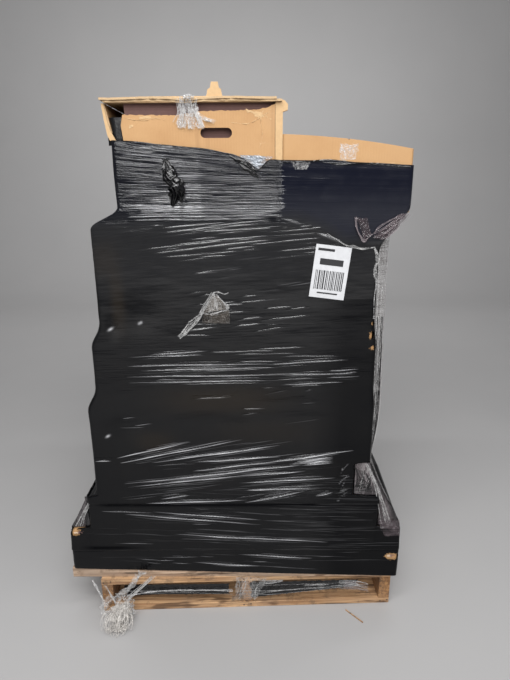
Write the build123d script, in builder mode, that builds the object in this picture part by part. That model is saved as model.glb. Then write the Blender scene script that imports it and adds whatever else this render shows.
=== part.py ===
"""A mixed pallet load: cartons on a notched stringer pallet, held by black stretch film.

Millimetres, +Z up. The origin is on the floor under the middle of the pallet, +X to the right
and -Y towards the front of the load. The load stands a little skewed on the pallet, so its
cartons and film are drawn in a load frame of their own: u to the right, v to the rear.
"""
from build123d import *
from collections import namedtuple
from math import cos, radians, sin
import os

# Pallet: three notched stringers between a top deck and a bottom deck
pallet_width = 1016.0
pallet_length = 1219.0
board_thickness = 22.0
stringer_width = 38.0
stringer_height = 89.0
lead_board_width = 140.0
deck_board_width = 89.0
inner_top_boards = 5
inner_bottom_boards = 3
inner_bottom_pitch = 165.0
notch_length = 229.0
notch_depth = 38.0
notch_from_end = 152.0
notch_radius = 19.0
board_edge_radius = 1.5

# Bearer planks that carry the load on the deck
plank_length = 1113.0
plank_width = 140.0
plank_thickness = 38.0

# Load frame: where the load stands on the pallet, and how far it is skewed
load_shift_x = -30.0
load_yaw = -2.0
front_line = -610.0

# Cartons: board, corners and the seam between the closing flaps
board_wall = 5.0
carton_corner_radius = 10.0
seam_width = 4.0
seam_depth = 2.5
crushed_edge_radius = 18.0
carton_gap = 4.0

base_left, base_right, base_depth, base_height = -547.0, 571.0, 1200.0, 154.0
second_left, second_right, second_height = -479.0, 492.0, 122.0
third_left, third_right, third_height = -445.0, 399.0, 133.0
second_sink = 75.0
second_rear_set_back, third_rear_set_back = 30.0, 32.0
front_depth = 405.0
low_left, low_right, low_height = -445.0, 456.0, 190.0
middle_left, middle_right, middle_height = -413.0, 449.0, 212.0
high_left, high_right, high_left_height, high_right_height = -382.0, 440.0, 350.0, 288.0
front_set_back = 10.0
rear_left, rear_right = -376.0, 520.0
rear_low_height = 350.0
overhang_rise = 98.0

# Open carton on top, at the left: a damaged box with a hand hole and a gap under its flaps
open_left, open_width, open_depth, open_height = -300.0, 458.0, 320.0, 333.0
hand_hole_width, hand_hole_height = 83.0, 27.0
hand_hole_shift, hand_hole_below_top = 51.0, 84.0
slump_gap_left, slump_gap_middle, slump_gap_right, slump_step = 29.0, 21.0, 4.0, 175.0
corner_split_width, corner_split_height = 28.0, 160.0
flap_slip = 20.0
tab_base, tab_shoulder, tab_top, tab_height = 46.0, 18.0, 24.0, 34.0
tab_shift = 1.0

# Flat carton on top, at the right: its lid has sunk towards the free end
flat_width, flat_height, flat_rear_set_back = 361.0, 208.0, 70.0
flat_lid_drop, flat_lid_crown = 40.0, 7.0

# Carton behind the open one
back_top_height, back_top_rear_set_back = 172.0, 12.0

# Black stretch film: many turns, drawn as one skin with straight spans from tier to tier
film_thickness = 2.0
film_clearance = 0.3
side_span = 8.0
side_break = 8.0
hem_right_above_deck = 4.0
rim_left, rim_dip, rim_middle, rim_right = 231.0, 208.0, 178.0, 163.0
rim_dip_share, rim_foot_share = 0.55, 0.79
span_above_low, span_above_middle = 55.0, 55.0
ledge_rise = 1.0
bridge_thickness = 1.5
film_reach_above = 60.0

# Paper label on the front
label_width, label_height, label_thickness = 102.0, 152.0, 0.4
label_corner_radius = 3.0
label_tilt = -7.0
label_from_left, label_below_top = 138.0, 70.0

# Loose film: a black tail, a clear twist on the front, a clear sash, a clear bundle on the floor
tail_width, tail_length, tail_bulge, tail_tip = 56.0, 128.0, 24.0, 18.0
tail_from_left, tail_height = 165.0, 1454.0
twist_length, twist_width, twist_bulge = 206.0, 34.0, 12.0
twist_from_left, twist_height, twist_lean = 313.0, 1078.0, 40.5
sash_width, sash_bulge, sash_from_left = 62.0, 9.0, 200.0
bundle_length, bundle_width, bundle_height = 92.0, 104.0, 128.0
bundle_top_length, bundle_top_width = 26.0, 46.0
bundle_from_left = 86.0
lump_crown = 0.6
bundle_sides = 8

# Heights of the stack, from the floor up
deck_top = 2 * board_thickness + stringer_height
plank_top = deck_top + plank_thickness
base_top = plank_top + base_height
second_foot = base_top - second_sink
second_top = base_top + second_height
third_top = second_top + third_height
low_top = third_top + low_height
middle_top = low_top + middle_height
high_left_top = middle_top + high_left_height
high_right_top = middle_top + high_right_height
rear_low_top = third_top + rear_low_height
overhang_bottom = high_right_top + overhang_rise
open_top = high_left_top + open_height
flat_top = overhang_bottom + flat_height

Space = namedtuple("Space", "left right front back bottom top")
Level = namedtuple("Level", "height left right side front back")

front_face = front_line + front_set_back
front_back = front_face + front_depth
rear_front = front_back + carton_gap
base_back = front_line + base_depth
second_back = base_back - second_rear_set_back
rear_back = second_back - third_rear_set_back
open_right = open_left + open_width
flat_left = open_right + carton_gap
flat_right = flat_left + flat_width

base = Space(base_left, base_right, front_line, base_back, plank_top, base_top)
second = Space(second_left, second_right, front_line + front_set_back / 2, second_back, second_foot, second_top)
third = Space(third_left, third_right, front_face, rear_back, second_top, third_top)
front_low = Space(low_left, low_right, front_face, front_back, third_top, low_top)
front_middle = Space(middle_left, middle_right, front_face, front_back, low_top, middle_top)
front_high_left = Space(high_left, open_right, front_face, front_back, middle_top, high_left_top)
front_high_right = Space(flat_left, high_right, front_face, front_back, middle_top, high_right_top)
rear_low = Space(rear_left, rear_right, rear_front, rear_back, third_top, rear_low_top)
rear_high_left = Space(rear_left, open_right, rear_front, rear_back, rear_low_top, high_left_top)
rear_high_right = Space(flat_left, rear_right, rear_front, rear_back, rear_low_top, overhang_bottom)
open_box = Space(open_left, open_right, front_face, front_face + open_depth, high_left_top, open_top)
back_top = Space(open_left, open_right, open_box.back + carton_gap, rear_back - back_top_rear_set_back,
                 high_left_top, high_left_top + back_top_height)
flat_box = Space(flat_left, flat_right, front_face, rear_back - flat_rear_set_back,
                 overhang_bottom, flat_top)

film_face = front_face - film_clearance - film_thickness
bridge_seat = film_thickness + 2 * film_clearance
load_plane = Plane(
    origin=(load_shift_x, 0, 0),
    x_dir=(cos(radians(load_yaw)), sin(radians(load_yaw)), 0),
    z_dir=(0, 0, 1),
)


def front_plane(v):
    """The upright plane across the load at depth v, seen from the front: its own z points at the viewer."""
    return Plane(origin=load_plane.from_local_coords((0, v, 0)), x_dir=load_plane.x_dir,
                 z_dir=-load_plane.y_dir)


def save(piece, name):
    """Label a finished piece and write it as its own file."""
    piece.part.label = name
    export_step(piece.part, f"parts/{name}.step")


def stringer(x):
    """A stringer on edge, with its two fork notches cut from below."""
    with BuildPart() as piece:
        side = Plane(origin=(x - stringer_width / 2, 0, board_thickness), x_dir=(0, 1, 0), z_dir=(1, 0, 0))
        with BuildSketch(side) as profile:
            with Locations((0, stringer_height / 2)):
                Rectangle(pallet_length, stringer_height)
            for end in (-1, 1):
                centre = end * (pallet_length / 2 - notch_from_end - notch_length / 2)
                with Locations((centre, notch_depth / 2)):
                    Rectangle(notch_length, notch_depth, mode=Mode.SUBTRACT)
            roof = profile.vertices().filter_by(lambda v: abs(v.Z - board_thickness - notch_depth) < 0.01)
            fillet(roof, radius=notch_radius)
        extrude(amount=stringer_width)
    return piece


def board(y, width, bottom, plane=Plane.XY, length=pallet_width, thickness=board_thickness):
    """A flat board across the pallet or the load, with its long edges eased."""
    with BuildPart() as piece:
        with BuildSketch(plane.offset(bottom)):
            with Locations((0, y)):
                Rectangle(length, width)
        extrude(amount=thickness)
        along = piece.edges().filter_by(lambda e: abs(e.length - length) < 0.01)
        fillet(along, radius=board_edge_radius)
    return piece


def closed_carton(space, crushed=0.0):
    """A closed carton with rounded upright corners and the seam where its top flaps meet."""
    width, depth = space.right - space.left, space.back - space.front
    centre = ((space.left + space.right) / 2, (space.front + space.back) / 2)
    with BuildPart() as piece:
        with BuildSketch(load_plane.offset(space.bottom)):
            with Locations(centre):
                RectangleRounded(width, depth, carton_corner_radius)
        extrude(amount=space.top - space.bottom)
        if crushed:
            fillet(piece.faces().sort_by(Axis.Z)[-1].edges(), radius=crushed)
        with BuildSketch(load_plane.offset(space.top)):
            with Locations(centre):
                if width > depth:
                    Rectangle(width, seam_width)
                else:
                    Rectangle(seam_width, depth)
        extrude(amount=-seam_depth, mode=Mode.SUBTRACT)
    return piece


def base_carton():
    """The base carton: its lid is pressed in under the second one and stands up beside it."""
    upper = base._replace(front=second.front, bottom=second.bottom)
    with BuildPart() as piece:
        with BuildSketch(load_plane.offset(base.bottom)):
            with Locations(((base.left + base.right) / 2, (base.front + base.back) / 2)):
                RectangleRounded(base.right - base.left, base.back - base.front, carton_corner_radius)
        extrude(amount=second.bottom - base.bottom)
        add(closed_carton(upper, crushed_edge_radius).part)
        with BuildSketch(load_plane.offset(base.top)):
            with Locations(((second.left + second.right) / 2, base.front)):
                Rectangle(second.right - second.left, second.back - base.front, align=(Align.CENTER, Align.MIN))
        extrude(amount=second.bottom - base.top, mode=Mode.SUBTRACT)
    return piece


def open_carton():
    """The damaged carton: front panel torn off its flaps and slumped, left corner split."""
    box = open_box
    width, depth = box.right - box.left, box.back - box.front
    middle = ((box.left + box.right) / 2, (box.front + box.back) / 2)
    lid_bottom = box.top - 2 * board_wall
    inner_width, inner_depth = width - 2 * board_wall, depth - 2 * board_wall
    with BuildPart() as piece:
        with BuildSketch(load_plane.offset(box.bottom)):
            with Locations(middle):
                RectangleRounded(width, depth, carton_corner_radius)
        extrude(amount=box.top - box.bottom)
        with BuildSketch(load_plane.offset(box.bottom + board_wall)):
            with Locations(middle):
                RectangleRounded(inner_width, inner_depth, carton_corner_radius - board_wall)
        extrude(amount=lid_bottom - box.bottom - board_wall, mode=Mode.SUBTRACT)

        with BuildSketch(front_plane(box.front)):
            # The gap that the torn, slumped panel leaves under the flaps
            gap_left, gap_right = middle[0] - inner_width / 2, middle[0] + inner_width / 2
            step = box.left + slump_step
            with BuildLine():
                Polyline((gap_left, lid_bottom), (gap_left, lid_bottom - slump_gap_left),
                         (step, lid_bottom - slump_gap_left), (step + slump_gap_left, lid_bottom - slump_gap_middle),
                         (gap_right - 2 * slump_gap_left, lid_bottom - slump_gap_middle),
                         (gap_right, lid_bottom - slump_gap_right), (gap_right, lid_bottom), close=True)
            make_face()
            # The split left corner
            with Locations((middle[0] - inner_width / 2, lid_bottom)):
                Rectangle(corner_split_width, corner_split_height, align=(Align.MIN, Align.MAX))
            with Locations((middle[0] + hand_hole_shift, box.top - hand_hole_below_top)):
                SlotOverall(hand_hole_width, hand_hole_height)
        extrude(amount=-board_wall, mode=Mode.SUBTRACT)

        # Between the two side flaps only the long flaps close the top, one board thick
        with BuildSketch(load_plane.offset(lid_bottom)):
            with Locations(middle):
                Rectangle(inner_width - inner_depth, inner_depth)
        extrude(amount=board_wall, mode=Mode.SUBTRACT)
        with BuildSketch(load_plane.offset(box.top)):
            with Locations(middle):
                Rectangle(width, seam_width)
        extrude(amount=-seam_depth, mode=Mode.SUBTRACT)

        # The front flap, torn free, has slipped over the left edge
        with BuildSketch(load_plane.offset(box.top - board_wall)):
            with Locations((box.left - flap_slip, box.front)):
                Rectangle(flap_slip + carton_corner_radius, (depth - seam_width) / 2,
                          align=(Align.MIN, Align.MIN))
        extrude(amount=board_wall)

        # A torn tab stands up at the front edge
        tab_centre = middle[0] + hand_hole_shift + tab_shift
        with BuildSketch(front_plane(box.front + board_wall)):
            for tab_width, height in ((tab_base, tab_shoulder), (tab_top, tab_height)):
                with Locations((tab_centre, box.top - board_wall)):
                    Rectangle(tab_width, board_wall + height, align=(Align.CENTER, Align.MIN))
        extrude(amount=board_wall)
    return piece


def flat_carton():
    """The long flat carton: its lid has sunk in a shallow curve towards the free right end."""
    box = flat_box
    middle = (box.left + box.right) / 2
    with BuildPart() as piece:
        with BuildSketch(front_plane(box.front)):
            with BuildLine():
                Polyline((box.left, box.top), (box.left, box.bottom), (box.right, box.bottom),
                         (box.right, box.top - flat_lid_drop))
                ThreePointArc((box.left, box.top),
                              (middle, box.top - flat_lid_drop / 2 + flat_lid_crown),
                              (box.right, box.top - flat_lid_drop))
            make_face()
        extrude(amount=-(box.back - box.front))
        # Only the low corners inside the film are rounded like the other cartons
        uprights = piece.edges().filter_by(Axis.Z)
        fillet(uprights, radius=carton_corner_radius)
        with BuildSketch(load_plane.offset(box.top)):
            with Locations((middle, (box.front + box.back) / 2)):
                Rectangle(seam_width, box.back - box.front)
        extrude(amount=-(flat_lid_drop / 2 - flat_lid_crown + seam_depth), mode=Mode.SUBTRACT)
    return piece


def film_levels(grow=0.0):
    """Inner faces of the film, or outer ones grown by its thickness, wherever they change direction."""
    c = film_clearance
    side = max(rear_right, flat_right) + c
    front, back = front_face - c, rear_back + c
    widening = (flat_right - high_right) * (high_left_top - high_right_top) / overhang_rise
    low = (base.left - c, base.right + c, base.right + side_span, base.front - c, base.back + c)
    over_base = (second.left - c, second.right + c, side, second.front - c, second.back + c)
    over_second = (third.left - c, third.right + c, side, front, back)
    over_third = (low_left - c, low_right + c, side, front, back)
    # The film lies on the base and second cartons, and under the low one that juts out at the right
    base_ledge, second_ledge, low_ledge = base_top + c + grow, second_top + c + grow, third_top - c - grow
    return [
        Level(0.0, *low),
        Level(second_foot, *low),
        Level(second_foot + seam_width, *low[:3], second.front - c, base.back + c),
        Level(base_ledge, *low[:3], second.front - c, base.back + c),
        Level(base_ledge + ledge_rise, *over_base),
        Level(second_ledge, *over_base),
        Level(second_ledge + ledge_rise, *over_second),
        Level(low_ledge - ledge_rise, *over_second),
        Level(low_ledge, *over_third),
        Level(low_top, *over_third),
        Level(low_top + span_above_low, middle_left - c, middle_right + c, side, front, back),
        Level(middle_top, middle_left - c, middle_right + c, side, front, back),
        Level(middle_top + span_above_middle, high_left - c, high_right + c, side, front, back),
        Level(high_right_top, high_left - c, high_right + c, side, front, back),
        Level(high_left_top, high_left - c, high_right + widening + c, side, front, back),
        Level(overhang_bottom, open_left - c, flat_right + c, side, front, back),
        Level(flat_top + film_reach_above, open_left - c, flat_right + c, side, front, back),
    ]


def film_outline(level, grow):
    """The film's outline at one height: a box whose right side is cut off from front to rear stack."""
    corners = [
        (level.left - grow, level.front - grow),
        (level.right + grow, level.front - grow),
        (level.side + side_break + grow, front_back),
        (level.side + side_break + grow, level.back + grow),
        (level.left - grow, level.back + grow),
    ]
    with BuildSketch(load_plane.offset(level.height)) as outline:
        with BuildLine():
            Polyline(*corners, close=True)
        make_face()
        fillet(outline.vertices(), radius=carton_corner_radius + film_clearance + grow)
    return outline


def front_block(outline_points):
    """A block through the whole load, from an outline drawn on its front."""
    reach = base_depth
    with BuildPart() as block:
        with BuildSketch(front_plane(-reach)):
            with BuildLine():
                Polyline(*outline_points, close=True)
            make_face()
        extrude(amount=-2 * reach)
    return block


def rim_points():
    """The film's upper edge: it dips across the open carton and falls slowly over the flat one."""
    width = open_right - open_left
    return [
        (open_left, high_left_top + rim_left),
        (open_left + rim_dip_share * width, high_left_top + rim_dip),
        (open_left + rim_foot_share * width, high_left_top + rim_middle),
        (open_right, high_left_top + rim_middle),
        (flat_right, high_left_top + rim_right),
    ]


def rim_at(u):
    """Height of the film's upper edge over the open carton."""
    points = rim_points()
    for (u0, z0), (u1, z1) in zip(points, points[1:]):
        if u <= u1:
            return z0 + (z1 - z0) * (u - u0) / (u1 - u0)
    return points[-1][1]


def black_wrap():
    """The film skin: an outer loft less an inner loft, trimmed along its slanting hem and rim."""
    far = base_depth
    hem_left, hem_right = plank_top + film_clearance, deck_top + hem_right_above_deck
    below = front_block([(-far, -1), (far, -1), (far, hem_right), (base.right, hem_right),
                         (base.left, hem_left), (-far, hem_left)])
    rim = rim_points()
    rim = [(-far, rim[0][1])] + rim + [(far, rim[-1][1])]
    above = front_block(rim + [(far, open_top * 2), (-far, open_top * 2)])
    with BuildPart() as piece:
        loft(sections=[film_outline(level, film_thickness).sketch for level in film_levels(film_thickness)],
             ruled=True)
        loft(sections=[film_outline(level, 0).sketch for level in film_levels()], ruled=True, mode=Mode.SUBTRACT)
        add(below.part, mode=Mode.SUBTRACT)
        add(above.part, mode=Mode.SUBTRACT)
    return piece


def band(v, start, end, thickness=bridge_thickness):
    """Section of a sloping sheet at depth v, between two (u, z) points on its outer face."""
    inward = thickness if start[0] < 0 else -thickness
    with BuildSketch(front_plane(v)) as section:
        with BuildLine():
            Polyline(start, end, (end[0] + inward, end[1]), (start[0] + inward, start[1]), close=True)
        make_face()
    return section


def bridge_right():
    """A see-through span of film at the right, from the base carton up to the low one."""
    seat = bridge_seat + ledge_rise
    foot, recess, top = base_top + seat, second_top + seat, third_top - seat
    near, far = front_face, front_back
    # The film behind runs off to the side, so the sheet's inner edges keep clear of its slope
    inner_low = second.right + bridge_seat + bridge_thickness
    inner_high = third.right + bridge_seat + 2 * bridge_thickness
    with BuildPart() as piece:
        with BuildSketch(front_plane(near)):
            with BuildLine():
                Polyline((inner_low, foot), (base.right, foot), (low_right, top), (inner_high, top),
                         (inner_high, recess), (inner_low, recess), close=True)
            make_face()
        extrude(amount=-bridge_thickness)
        loft(sections=[band(near, (base.right, foot), (low_right, top)).sketch,
                       band(far, (base.right + side_span, foot), (flat_right + 2 * side_span, top)).sketch],
             ruled=True)
    return piece


def bridge_left():
    """A see-through span of film at the left, from the base carton up to the top of the second."""
    foot, top = base_top + bridge_seat + ledge_rise, second_top
    inner = second.left - bridge_seat
    with BuildPart() as piece:
        with BuildSketch(front_plane(front_face)):
            with BuildLine():
                Polyline((inner, foot), (base.left, foot), (inner - bridge_thickness, top), (inner, top), close=True)
            make_face()
        extrude(amount=-bridge_thickness)
        loft(sections=[band(front_face, (base.left, foot), (inner - bridge_thickness, top)).sketch,
                       band(second_back, (base.left, foot), (inner - bridge_thickness, top)).sketch], ruled=True)
    return piece


def label():
    """A paper label that lies tilted on the film of the right-hand carton."""
    with BuildPart() as piece:
        with BuildSketch(front_plane(film_face)):
            with Locations((high_right - label_from_left, high_right_top - label_below_top)):
                RectangleRounded(label_width, label_height, label_corner_radius, rotation=label_tilt)
        extrude(amount=label_thickness)
    return piece


def lump(place, face, width, height, bulge, lean=0.0, tip=None):
    """A simple closed form for crumpled film: a low cushion that narrows away from its face."""
    foot = width if tip is None else tip
    with BuildPart() as piece:
        for share, out in ((1.0, 0.0), (lump_crown, bulge)):
            top, bottom = share * width / 2, share * foot / 2
            half = height / 2 - (1 - share) * width / 2
            with BuildSketch(front_plane(face - out)):
                with Locations(place):
                    Polygon((-top, half), (top, half), (bottom, -half), (-bottom, -half),
                            rotation=lean, align=None)
        loft(ruled=True)
    return piece


def black_tail():
    """The crumpled black end of the film, hanging on the front below the hand hole."""
    return lump((open_left + tail_from_left, tail_height), film_face - film_clearance,
                tail_width, tail_length, tail_bulge, tip=tail_tip)


def clear_twist():
    """A twist of clear film that lies across the front of the big carton."""
    return lump((high_left + twist_from_left, twist_height), film_face - film_clearance,
                twist_width, twist_length, twist_bulge, lean=-(90 - twist_lean))


def clear_sash():
    """A crumpled band of clear film, down the front of the open carton to the black film."""
    u = open_left + sash_from_left
    top, bottom = open_top, rim_at(u - sash_width / 2) + film_clearance
    return lump((u, (top + bottom) / 2), open_box.front - film_clearance,
                sash_width, top - bottom, sash_bulge)


def clear_bundle():
    """A bundle of clear film on the floor, drawn up towards the front edge of the pallet."""
    back = -pallet_length / 2 - film_clearance
    x = -pallet_width / 2 + bundle_from_left
    # The octagon's flats, not its corners, reach the full size, so its back lies against the board
    turns = [radians(360 * (side + 0.5) / bundle_sides) for side in range(bundle_sides)]
    reach = 1 / cos(radians(180 / bundle_sides))
    with BuildPart() as piece:
        for height, width, length in ((0, bundle_width, bundle_length),
                                      (bundle_height, bundle_top_width, bundle_top_length)):
            with BuildSketch(Plane.XY.offset(height)):
                with Locations((x, back - length / 2)):
                    Polygon(*[(reach * width / 2 * cos(turn), reach * length / 2 * sin(turn)) for turn in turns],
                            align=None)
        loft(ruled=True)
    return piece


def main():
    os.makedirs("parts", exist_ok=True)

    stringer_row = (pallet_width - stringer_width) / 2
    for name, side in (("left", -1), ("middle", 0), ("right", 1)):
        save(stringer(side * stringer_row), f"stringer_{name}")

    lead_row = (pallet_length - lead_board_width) / 2
    top_pitch = 2 * lead_row / (inner_top_boards + 1)
    deck_bottom = board_thickness + stringer_height
    save(board(-lead_row, lead_board_width, deck_bottom), "top_lead_board_front")
    save(board(lead_row, lead_board_width, deck_bottom), "top_lead_board_rear")
    for number in range(1, inner_top_boards + 1):
        y = -lead_row + number * top_pitch
        save(board(y, deck_board_width, deck_bottom), f"top_deck_board_{number}")
    save(board(-lead_row, lead_board_width, 0), "bottom_lead_board_front")
    save(board(lead_row, lead_board_width, 0), "bottom_lead_board_rear")
    for number in range(1, inner_bottom_boards + 1):
        y = (number - (inner_bottom_boards + 1) / 2) * inner_bottom_pitch
        save(board(y, deck_board_width, 0), f"bottom_deck_board_{number}")

    plank_rows = {
        "front": front_line + plank_width / 2,
        "middle": (front_line + base_back) / 2,
        "rear": base_back - plank_width / 2,
    }
    for name, v in plank_rows.items():
        plank = board(v, plank_width, deck_top, load_plane, plank_length, plank_thickness)
        save(plank, f"bearer_plank_{name}")

    save(base_carton(), "carton_base")
    closed = {
        "carton_second": second,
        "carton_third": third,
        "carton_front_low": front_low,
        "carton_front_middle": front_middle,
        "carton_front_high_left": front_high_left,
        "carton_front_high_right": front_high_right,
        "carton_rear_low": rear_low,
        "carton_rear_high_left": rear_high_left,
        "carton_rear_high_right": rear_high_right,
        "carton_top_rear": back_top,
    }
    for name, space in closed.items():
        save(closed_carton(space), name)
    save(flat_carton(), "carton_flat_top")
    save(open_carton(), "carton_open_top")

    save(black_wrap(), "black_wrap")
    save(bridge_left(), "film_bridge_left")
    save(bridge_right(), "film_bridge_right")
    save(label(), "paper_label")
    save(black_tail(), "black_film_tail")
    save(clear_twist(), "clear_film_twist")
    save(clear_sash(), "clear_film_sash")
    save(clear_bundle(), "clear_film_bundle")


if __name__ == "__main__":
    main()
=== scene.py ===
"""Looks of the wrapped pallet load: film, board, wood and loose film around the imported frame.

Metres, +Z up. The load stands skewed on its pallet, so film and cartons are laid out in the
load's own frame: u to the right, v to the rear, z up.
"""
import math
import random

import bmesh
import bpy
import numpy as np
from mathutils import Matrix, Vector
from mathutils.geometry import tessellate_polygon


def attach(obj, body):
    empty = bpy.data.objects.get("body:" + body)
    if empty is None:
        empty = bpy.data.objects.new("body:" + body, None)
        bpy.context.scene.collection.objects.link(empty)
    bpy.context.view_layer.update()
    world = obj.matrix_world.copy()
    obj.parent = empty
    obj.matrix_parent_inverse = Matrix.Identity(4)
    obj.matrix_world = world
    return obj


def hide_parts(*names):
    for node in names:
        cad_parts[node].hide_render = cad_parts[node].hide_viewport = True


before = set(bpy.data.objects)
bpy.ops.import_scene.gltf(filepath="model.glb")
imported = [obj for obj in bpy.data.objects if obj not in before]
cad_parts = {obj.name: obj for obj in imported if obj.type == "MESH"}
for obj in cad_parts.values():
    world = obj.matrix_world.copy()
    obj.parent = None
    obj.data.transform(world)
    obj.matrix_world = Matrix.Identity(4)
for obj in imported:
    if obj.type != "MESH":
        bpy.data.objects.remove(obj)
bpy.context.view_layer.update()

MM = 0.001
LOAD_YAW = math.radians(-2.0)
LOAD_SHIFT_X = -30 * MM
COS, SIN = math.cos(LOAD_YAW), math.sin(LOAD_YAW)


def to_world(points):
    """Load frame (u, v, z) to the row frame, for an array whose last axis is the point."""
    points = np.asarray(points, float)
    u, v, z = points[..., 0], points[..., 1], points[..., 2]
    return np.stack([LOAD_SHIFT_X + u * COS - v * SIN, u * SIN + v * COS, z], axis=-1)


def from_world(points):
    """Row frame (x, y, z) to the load frame, for an array whose last axis is the point."""
    points = np.asarray(points, float)
    x, y, z = points[..., 0] - LOAD_SHIFT_X, points[..., 1], points[..., 2]
    return np.stack([x * COS + y * SIN, y * COS - x * SIN, z], axis=-1)


def node_points(node):
    """Vertices of a CAD node, in the row frame."""
    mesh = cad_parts[node].data
    points = np.empty(len(mesh.vertices) * 3)
    mesh.vertices.foreach_get("co", points)
    return points.reshape(-1, 3)


def limits(points):
    """[x0, x1, y0, y1, z0, z1] of the points."""
    return [side(points[:, axis]) for axis in range(3) for side in (np.min, np.max)]


def load_box(node):
    """Limits of a CAD node in the load's own frame."""
    return limits(from_world(node_points(node)))


def world_box(node):
    """Limits of a CAD node in the row frame."""
    return limits(node_points(node))


def at(v, *points):
    """(u, z) points at one depth, as (u, v, z)."""
    return [(u, v, z) for u, z in points]


def lifted(v, *points):
    """(u, lift, z) points, each lifted by some mm toward the front, as (u, v, z)."""
    return [(u, v - lift * MM, z) for u, lift, z in points]


def ease(x, start, run):
    """0 before the start and 1 once the run is over; a negative run falls instead."""
    return np.clip((x - start) / run, 0, 1)


def bell(x, centre, half, power=2):
    """A bump of height 1 round the centre."""
    return np.exp(-np.abs((x - centre) / half) ** power)


BASE = load_box("carton_base")
SECOND = load_box("carton_second")
THIRD = load_box("carton_third")
LOW = load_box("carton_front_low")
MIDDLE = load_box("carton_front_middle")
HIGH_LEFT = load_box("carton_front_high_left")
HIGH_RIGHT = load_box("carton_front_high_right")
REAR = load_box("carton_rear_high_right")
OPEN_BOX = load_box("carton_open_top")
FLAT_BOX = load_box("carton_flat_top")
WRAP = load_box("black_wrap")
PLANK = load_box("bearer_plank_front")


# Noise

def wave_noise(points, seed, scale, octaves=4, sharp=False):
    """Smooth noise about -1 to 1 from sums of sine waves; sharp gives creased noise for crumpled film."""
    rng = np.random.default_rng(seed)
    points = np.asarray(points, float)
    total = np.zeros(points.shape[:-1])
    weight, span = 1.0, 0.0
    for _ in range(octaves):
        layer = np.zeros_like(total)
        for _ in range(5):
            direction = rng.normal(size=points.shape[-1])
            direction *= 2 * math.pi / (scale * np.linalg.norm(direction)) * rng.uniform(0.6, 1.5)
            wave = np.sin(points @ direction + rng.uniform(0, 2 * math.pi))
            layer += (1 - 2 * np.abs(wave)) if sharp else wave
        total += weight * layer / 5
        span += weight
        weight *= 0.55
        scale *= 0.5
    return total / span * 1.8


# Mesh helpers

def mesh_piece(name, points, faces, material, smooth=True):
    """A new piece from row-frame points, on the root body."""
    mesh = bpy.data.meshes.new(name)
    mesh.from_pydata([tuple(p) for p in np.asarray(points).reshape(-1, 3)], [], [tuple(f) for f in faces])
    mesh.validate()
    mesh.update()
    mesh.polygons.foreach_set("use_smooth", [smooth] * len(mesh.polygons))
    piece = bpy.data.objects.new(name, mesh)
    bpy.context.scene.collection.objects.link(piece)
    mesh.materials.append(material)
    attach(piece, "root")
    return piece


def grid_faces(rows, columns, keep=None):
    """Quads of a grid, with an optional mask of the cells to keep."""
    index = np.arange(rows * columns).reshape(rows, columns)
    quads = np.stack([index[:-1, :-1], index[:-1, 1:], index[1:, 1:], index[1:, :-1]], axis=-1)
    if keep is None:
        return quads.reshape(-1, 4)
    return quads[keep]


def grid_piece(name, points, material, keep=None, attributes=None):
    """A piece from a rows x columns grid of row-frame points; unused points are dropped."""
    rows, columns = points.shape[:2]
    faces = grid_faces(rows, columns, keep)
    used = np.unique(faces)
    renumber = np.zeros(rows * columns, int)
    renumber[used] = np.arange(len(used))
    piece = mesh_piece(name, points.reshape(-1, 3)[used], renumber[faces], material)
    for key, values in (attributes or {}).items():
        layer = piece.data.attributes.new(key, "FLOAT", "POINT")
        layer.data.foreach_set("value", values.reshape(-1)[used].astype(np.float32))
    return piece


# Materials

class Nodes:
    """Short spellings for building one material's node tree."""

    def __init__(self, name):
        self.material = bpy.data.materials.new(name)
        self.material.use_nodes = True
        self.tree = self.material.node_tree
        self.shader = self.tree.nodes["Principled BSDF"]
        self.where = self.add("ShaderNodeTexCoord").outputs["Object"]

    def add(self, kind, **inputs):
        node = self.tree.nodes.new(kind)
        for key, value in inputs.items():
            self.put(node.inputs[key.replace("_", " ")], value)
        return node

    def put(self, socket, value):
        if isinstance(value, bpy.types.NodeSocket):
            self.tree.links.new(value, socket)
        else:
            socket.default_value = value

    def mapped(self, scale, rotation=(0, 0, 0)):
        return self.add("ShaderNodeMapping", Vector=self.where, Scale=scale,
                        Rotation=rotation).outputs["Vector"]

    def noise(self, scale, detail=4.0, rough=0.55, vector=None, distortion=0.0):
        node = self.add("ShaderNodeTexNoise", Vector=vector or self.where, Scale=scale, Detail=detail,
                        Roughness=rough, Distortion=distortion)
        return node.outputs["Fac"]

    def ramp(self, value, low, high, out_low=0.0, out_high=1.0):
        node = self.add("ShaderNodeMapRange", Value=value, From_Min=low, From_Max=high, To_Min=out_low,
                        To_Max=out_high)
        return node.outputs["Result"]

    def field(self, name):
        node = self.add("ShaderNodeAttribute")
        node.attribute_name = name
        return node.outputs["Fac"]

    def maths(self, operation, a, b=0.0):
        node = self.add("ShaderNodeMath")
        node.operation = operation
        self.put(node.inputs[0], a)
        self.put(node.inputs[1], b)
        return node.outputs[0]

    def blend(self, share, a, b):
        node = self.add("ShaderNodeMix")
        node.data_type = "RGBA"
        self.put(node.inputs["Factor"], share)
        self.put(node.inputs[6], a)
        self.put(node.inputs[7], b)
        return node.outputs[2]

    def coat(self, base, value, low, high, most, rgb):
        return self.blend(self.ramp(value, low, high, 0.0, most), base, colour(*rgb))

    def bump(self, height, strength, distance, normal=None):
        node = self.add("ShaderNodeBump", Height=height, Strength=strength, Distance=distance)
        if normal is not None:
            self.put(node.inputs["Normal"], normal)
        return node.outputs["Normal"]

    def set(self, **inputs):
        for key, value in inputs.items():
            self.put(self.shader.inputs[key.replace("_", " ")], value)


def colour(r, g, b):
    return (r, g, b, 1.0)


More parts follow.
